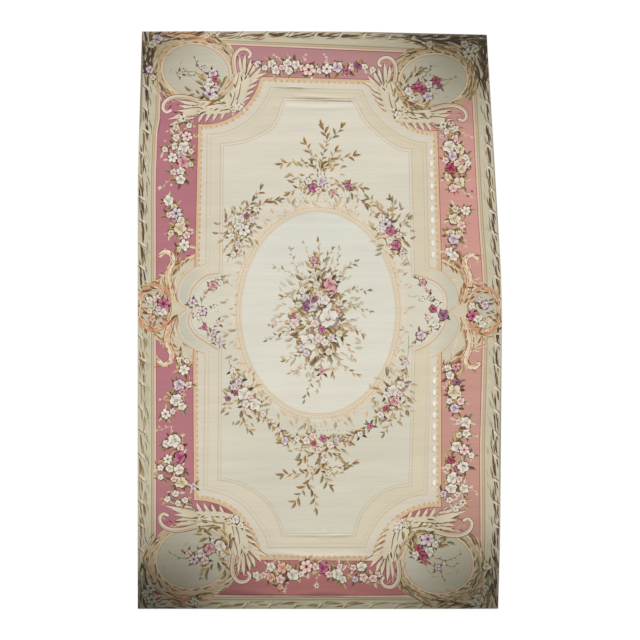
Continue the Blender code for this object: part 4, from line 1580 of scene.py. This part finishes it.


# Dirt and fading over the whole sheet, together with painted shade where the light falls off towards the
# corners; more of both towards the near corners
soilingAndPaintedShade = (
    # x, y, reach along x, reach along y, how much darker
    (-1.66, 2.82, 0.4, 0.42, 0.2), (1.45, 2.65, 0.6, 0.6, 0.3), (1.5, -2.7, 0.7, 0.6, 0.33),
    (-1.5, -2.74, 0.66, 0.6, 0.42), (0.0, -2.95, 1.6, 0.4, 0.24), (0.9, 2.85, 0.9, 0.22, 0.1),
    (-1.76, -2.83, 0.26, 0.3, 0.22), (1.74, -2.83, 0.26, 0.3, 0.12),
)
# The studio light is this much stronger than the picture's, so the wools are darker by as much
lightLevel = 1.1


# Darkens and warms the colours: partly dirt and fading, partly painted shade towards the rug's corners
def soilAndPaintedShade(colours, x, y):
    shade = np.ones_like(x)
    for centreX, centreY, reachX, reachY, depth in soilingAndPaintedShade:
        distance = ((x - centreX) / reachX) ** 2 + ((y - centreY) / reachY) ** 2
        shade = shade * (1 - depth * np.exp(-distance))
    warm = np.stack([shade, shade * (0.985 + 0.015 * shade), shade * (0.9 + 0.1 * shade)], axis=-1)
    return colours * warm


def linearLight(colours):
    share = np.clip(colours / 255, 0, 1)
    return np.where(share <= 0.04045, share / 12.92, ((share + 0.055) / 1.055) ** 2.4) / lightLevel


def loosePoints():
    # A grid that carries the folds and the slow changes of colour
    points = []
    coarse, fine = sheetShape["gridStep"], sheetShape["foldStep"]
    wander = random.Random(3)
    for row in range(int(5.6 / coarse) + 1):
        for column in range(int(3.6 / coarse) + 1):
            x = -1.8 + column * coarse + wander.uniform(-0.008, 0.008)
            y = -2.8 + row * coarse + wander.uniform(-0.008, 0.008)
            if leftEdge(y) + 0.02 < x < rightEdge(y) - 0.02 and abs(y) < 2.775:
                points.append((x, y))
    for startX, startY, endX, endY, _, halfWidth, sway, waves in sheetShape["folds"]:
        columns = round((endX - startX) / (2.2 * fine))
        for column in range(columns + 1):
            along = column / columns
            x = startX + (endX - startX) * along
            middle = startY + (endY - startY) * along + sway * math.sin(2 * math.pi * waves * along)
            for row in range(-3, 4):
                points.append((x + wander.uniform(-0.002, 0.002), middle + halfWidth * row / 3.2))
    tuckX, tuckY, _, halfLength, halfWidth = sheetShape["tuck"]
    for column in range(-4, 5):
        for row in range(-3, 4):
            points.append((tuckX + halfLength * column / 4.2, tuckY + halfWidth * row / 3.2 + 0.0007))
    return points


def rimLoop(triangles):
    # The outer edges of a triangle mesh, in order
    ahead = {}
    edges = np.concatenate([triangles[:, [0, 1]], triangles[:, [1, 2]], triangles[:, [2, 0]]])
    known = set(map(tuple, edges.tolist()))
    for a, b in known:
        if (b, a) not in known:
            ahead[a] = b
    start = next(iter(ahead))
    loop, here = [start], ahead[start]
    while here != start:
        loop.append(here)
        here = ahead[here]
    return loop


def bakePlaces(x, y, under=False):
    # Places on the bake's map: the face fills most of it and the underside has a strip of its own
    scale = 0.98 / 5.72
    if under:
        scale *= 0.52
        return 0.655 + (x + 1.82) * scale, 0.01 + (y + 2.86) * scale
    return 0.01 + (x + 1.82) * scale, 0.01 + (y + 2.86) * scale


def weaveRug():
    layBack()
    loose = loosePoints()
    spots, triangles, owner, _ = face.cut(loose)
    print("face cut:", len(triangles), "triangles")
    spots, triangles, owner = face.thinOut(spots, triangles, owner, loose)
    loop = rimLoop(triangles)
    print("dropped:", face.dropped)
    print("thinned out:", len(triangles), "triangles,", len(loop), "rim edges")

    # The underside is cut from the same rim
    rim = spots[loop]
    under = Cartoon(1000000)
    under.lay(rim.tolist(), plain(mix(grounds["outerBand"], grounds["backTint"], 0.35)))
    for ring, dye in zip(back.shapes, back.dyes):
        under.lay([tuple(back.corners[spot]) for spot in ring], dye)
    step = sheetShape["undersideStep"]
    grid = []
    for row in range(int(5.5 / step) + 1):
        for column in range(int(3.5 / step) + 1):
            x, y = -1.75 + column * step, -2.75 + row * step
            if leftEdge(y) + 0.05 < x < rightEdge(y) - 0.05:
                grid.append((x, y))
    for startX, startY, endX, endY, _, halfWidth, sway, waves in sheetShape["folds"]:
        for column in range(25):
            along = column / 24
            middle = startY + (endY - startY) * along + sway * math.sin(2 * math.pi * waves * along)
            for row in (-1, -0.5, 0, 0.5, 1):
                grid.append((startX + (endX - startX) * along, middle + halfWidth * row))
    underSpots, underTriangles, underOwner, origins = under.cut(grid)
    match = {}
    for spot, found in enumerate(origins):
        for source in found:
            match[source] = spot
    underLoop = [match[k] for k in range(len(loop))]

    thickness = sheetShape["thickness"]
    ripple = sheetShape["ripple"]
    x, y = spots[:, 0], spots[:, 1]
    across, along = np.sin(3.1 * x + 1.3 * np.sin(2.3 * y)), np.sin(2.7 * y + 0.9 * np.sin(1.9 * x))
    uneven = ripple * (0.5 + 0.5 * across * along)
    top = np.column_stack([x, y, sheetLift(x, y) + thickness + uneven])
    bottomX, bottomY = underSpots[:, 0], underSpots[:, 1]
    bottom = np.column_stack([bottomX, bottomY, sheetLift(bottomX, bottomY)])
    before, after = np.roll(rim, 1, axis=0), np.roll(rim, -1, axis=0)
    outward = np.column_stack([after[:, 1] - before[:, 1], before[:, 0] - after[:, 0]])
    outward /= np.linalg.norm(outward, axis=1, keepdims=True)
    bulge = np.column_stack([rim + outward * sheetShape["rimBulge"], top[loop, 2] - thickness / 2])

    topCount, bottomCount, rimCount = len(top), len(bottom), len(loop)
    vertices = np.concatenate([top, bottom, bulge])
    underFaces = underTriangles[:, ::-1] + topCount
    upper, lower = [], []
    for k in range(rimCount):
        n = (k + 1) % rimCount
        a, b = loop[k], loop[n]
        c, d = topCount + underLoop[k], topCount + underLoop[n]
        e, f = topCount + bottomCount + k, topCount + bottomCount + n
        upper += [(b, a, e), (b, e, f)]
        lower += [(f, e, c), (f, c, d)]
    upper, lower = np.array(upper), np.array(lower)
    faces = np.concatenate([triangles, underFaces, upper, lower])

    mesh = bpy.data.meshes.new("rugSheet")
    mesh.from_pydata(vertices.tolist(), [], faces.tolist())

    # One colour for each corner of each triangle, so that wools meet at a clean line
    faceColours = face.dyeCorners(spots, triangles, owner)
    # The face's colours get the dirt and the painted corner shade
    faceColours = soilAndPaintedShade(faceColours, spots[triangles, 0], spots[triangles, 1])
    underColours = under.dyeCorners(underSpots, underTriangles, underOwner)[:, ::-1]
    edgeTone = np.array(mix(grounds["outerBand"], (150, 132, 104), 0.4))
    rimPlaces = vertices[np.concatenate([upper, lower])]
    # The rim gets the same dirt and painted corner shade
    rimColours = soilAndPaintedShade(np.broadcast_to(edgeTone, rimPlaces.shape), rimPlaces[..., 0], rimPlaces[..., 1])
    colours = linearLight(np.concatenate([faceColours, underColours, rimColours]))
    dyed = mesh.color_attributes.new("wool", "FLOAT_COLOR", "CORNER")
    dyed.data.foreach_set("color",
        np.concatenate([colours, np.ones(colours.shape[:2] + (1,))], axis=-1).ravel())

    # The rim's map places lie just outside the face's own
    places = np.zeros((len(vertices), 2))
    places[:topCount] = np.column_stack(bakePlaces(x, y))
    places[topCount + bottomCount:] = np.column_stack(bakePlaces(*(rim + outward * 0.004).T))
    corners = places[faces]
    underStart = len(triangles)
    underStop = underStart + len(underFaces)
    underPlaces = vertices[underFaces]
    corners[underStart:underStop] = np.stack(bakePlaces(underPlaces[..., 0], underPlaces[..., 1], True),
        axis=-1)
    lowPlaces = np.column_stack(bakePlaces(*(rim + outward * 0.008).T))
    lowest = {topCount + spot: lowPlaces[k] for k, spot in enumerate(underLoop)}
    lowStart = underStop + len(upper)
    for row, corner in np.argwhere((lower >= topCount) & (lower < topCount + bottomCount)):
        corners[lowStart + row, corner] = lowest[lower[row, corner]]
    mesh.uv_layers.new(name="OFBake").data.foreach_set("uv", corners.ravel())

    mesh.shade_smooth()
    mesh.set_sharp_from_angle(angle=math.radians(50))
    rug = bpy.data.objects.new("wovenRug", mesh)
    bpy.context.scene.collection.objects.link(rug)
    print("rug woven:", len(faces), "triangles")
    return rug


rug = weaveRug()


class Thread:
    # A shader value or a link to one. Sums of threads add Math nodes.
    def __init__(self, tree, link=None):
        self.tree = tree
        self.link = link

    def node(self, kind, settings=None, values=None, output=0):
        made = self.tree.nodes.new(kind)
        for name, value in (settings or {}).items():
            setattr(made, name, value)
        for name, value in (values or {}).items():
            if isinstance(value, Thread):
                self.tree.links.new(value.link, made.inputs[name])
            else:
                made.inputs[name].default_value = value
        return Thread(self.tree, made.outputs[output] if made.outputs else None)

    def maths(self, operation, first, second):
        return self.node("ShaderNodeMath", {"operation": operation}, {0: first, 1: second})

    def __add__(self, other):
        return self.maths("ADD", self, other)

    def __sub__(self, other):
        return self.maths("SUBTRACT", self, other)

    def __rsub__(self, other):
        return self.maths("SUBTRACT", other, self)

    def __mul__(self, other):
        return self.maths("MULTIPLY", self, other)

    __radd__ = __add__
    __rmul__ = __mul__

    def noise(self, place, scale, detail=2.0, stretch=(1, 1, 1)):
        stretched = self.node("ShaderNodeVectorMath", {"operation": "MULTIPLY"}, {0: place, 1: stretch})
        return self.node("ShaderNodeTexNoise", {}, {"Vector": stretched, "Scale": scale, "Detail": detail})

    def tint(self, colour, strength):
        # A colour made lighter or darker by a value round 1
        return self.node("ShaderNodeVectorMath", {"operation": "SCALE"}, {0: colour, "Scale": strength})


weaveFinish = {
    "ribPitch": 0.0031,  # warps under the weft
    "ribHeight": 0.00035,
    "abrash": 0.085,  # streaks along the weft, as a share of the colour
    "fineStreaks": 0.08,
    "blotches": 0.06,
    "roughness": 0.88,
}


def weaveMaterial(finish):
    material = bpy.data.materials.new("tapestry weave")
    material.use_nodes = True
    tree = material.node_tree
    tree.nodes.clear()
    start = Thread(tree)
    place = start.node("ShaderNodeTexCoord", output=3)
    dyed = start.node("ShaderNodeVertexColor", {"layer_name": "wool"})
    wide = start.noise(place, 1.0, 3.0, (0.55, 9.0, 1))
    narrow = start.noise(place, 1.0, 2.0, (3.0, 70.0, 1))
    picks = start.noise(place, 1.0, 1.0, (25.0, 900.0, 1))
    blotch = start.noise(place, 1.3, 4.0)
    streaks = 1 + (wide - 0.5) * (2 * finish["abrash"]) + (narrow - 0.5) * (2 * finish["fineStreaks"])
    shade = streaks + (picks - 0.5) * (1.2 * finish["fineStreaks"])
    shade = shade + (blotch - 0.5) * (2 * finish["blotches"])
    colour = start.tint(dyed, shade)
    parts = start.node("ShaderNodeSeparateXYZ", {}, {0: place}, 0)
    sway = (blotch - 0.5) * 0.02
    ribs = start.maths("SINE", (parts + sway) * (2 * math.pi / finish["ribPitch"]), 0.0)
    height = ribs * 0.5 + picks * 0.7 + narrow * 0.6
    bump = start.node("ShaderNodeBump", {},
        {"Height": height, "Strength": 0.55, "Distance": finish["ribHeight"]})
    rough = (narrow - 0.5) * 0.12 + finish["roughness"]
    surface = start.node("ShaderNodeBsdfPrincipled", {}, {
        "Base Color": colour, "Roughness": rough, "Normal": bump, "Specular IOR Level": 0.25,
        "Sheen Weight": 0.08,
        "Sheen Roughness": 0.5,
    })
    start.node("ShaderNodeOutputMaterial", {}, {"Surface": surface})
    return material


rug.data.materials.append(weaveMaterial(weaveFinish))
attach(rug, "root")
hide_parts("rug")

# Floor, lights and sky
studio = {
    "floorSize": 40.0,
    "floorTone": 0.92,
    "floorRoughness": 0.75,
    "skyStrength": 0.58,
    "sunPlace": (-2.6, 5.0, 4.8),  # the direction it shines from
    "sunStrength": 2.52,
    "sunAngle": 0.5,
}


def makeFloor():
    half = studio["floorSize"] / 2
    mesh = bpy.data.meshes.new("floor")
    mesh.from_pydata([(-half, -half, 0), (half, -half, 0), (half, half, 0), (-half, half, 0)], [],
        [(0, 1, 2, 3)])
    floor = bpy.data.objects.new("floor", mesh)
    floor.location.z = -0.0005
    bpy.context.scene.collection.objects.link(floor)
    material = bpy.data.materials.new("pale floor")
    material.use_nodes = True
    tree = material.node_tree
    tree.nodes.clear()
    start = Thread(tree)
    place = start.node("ShaderNodeTexCoord", output=3)
    grain = start.noise(place, 6.0, 3.0)
    tone = start.tint((studio["floorTone"],) * 3, 1 + (grain - 0.5) * 0.015)
    surface = start.node("ShaderNodeBsdfPrincipled", {},
        {"Base Color": tone, "Roughness": studio["floorRoughness"]})
    start.node("ShaderNodeOutputMaterial", {}, {"Surface": surface})
    floor.data.materials.append(material)


def makeLights():
    scene = bpy.context.scene
    scene.view_settings.view_transform = "Standard"
    world = bpy.data.worlds.new("studio")
    world.use_nodes = True
    sky = world.node_tree.nodes["Background"]
    sky.inputs["Color"].default_value = (1, 1, 1, 1)
    sky.inputs["Strength"].default_value = studio["skyStrength"]
    scene.world = world
    data = bpy.data.lights.new("key", "SUN")
    data.energy = studio["sunStrength"]
    data.angle = studio["sunAngle"]
    key = bpy.data.objects.new("key", data)
    key.rotation_euler = (-Vector(studio["sunPlace"])).to_track_quat("-Z", "Y").to_euler()
    scene.collection.objects.link(key)


makeFloor()
makeLights()
bpy.context.view_layer.update()
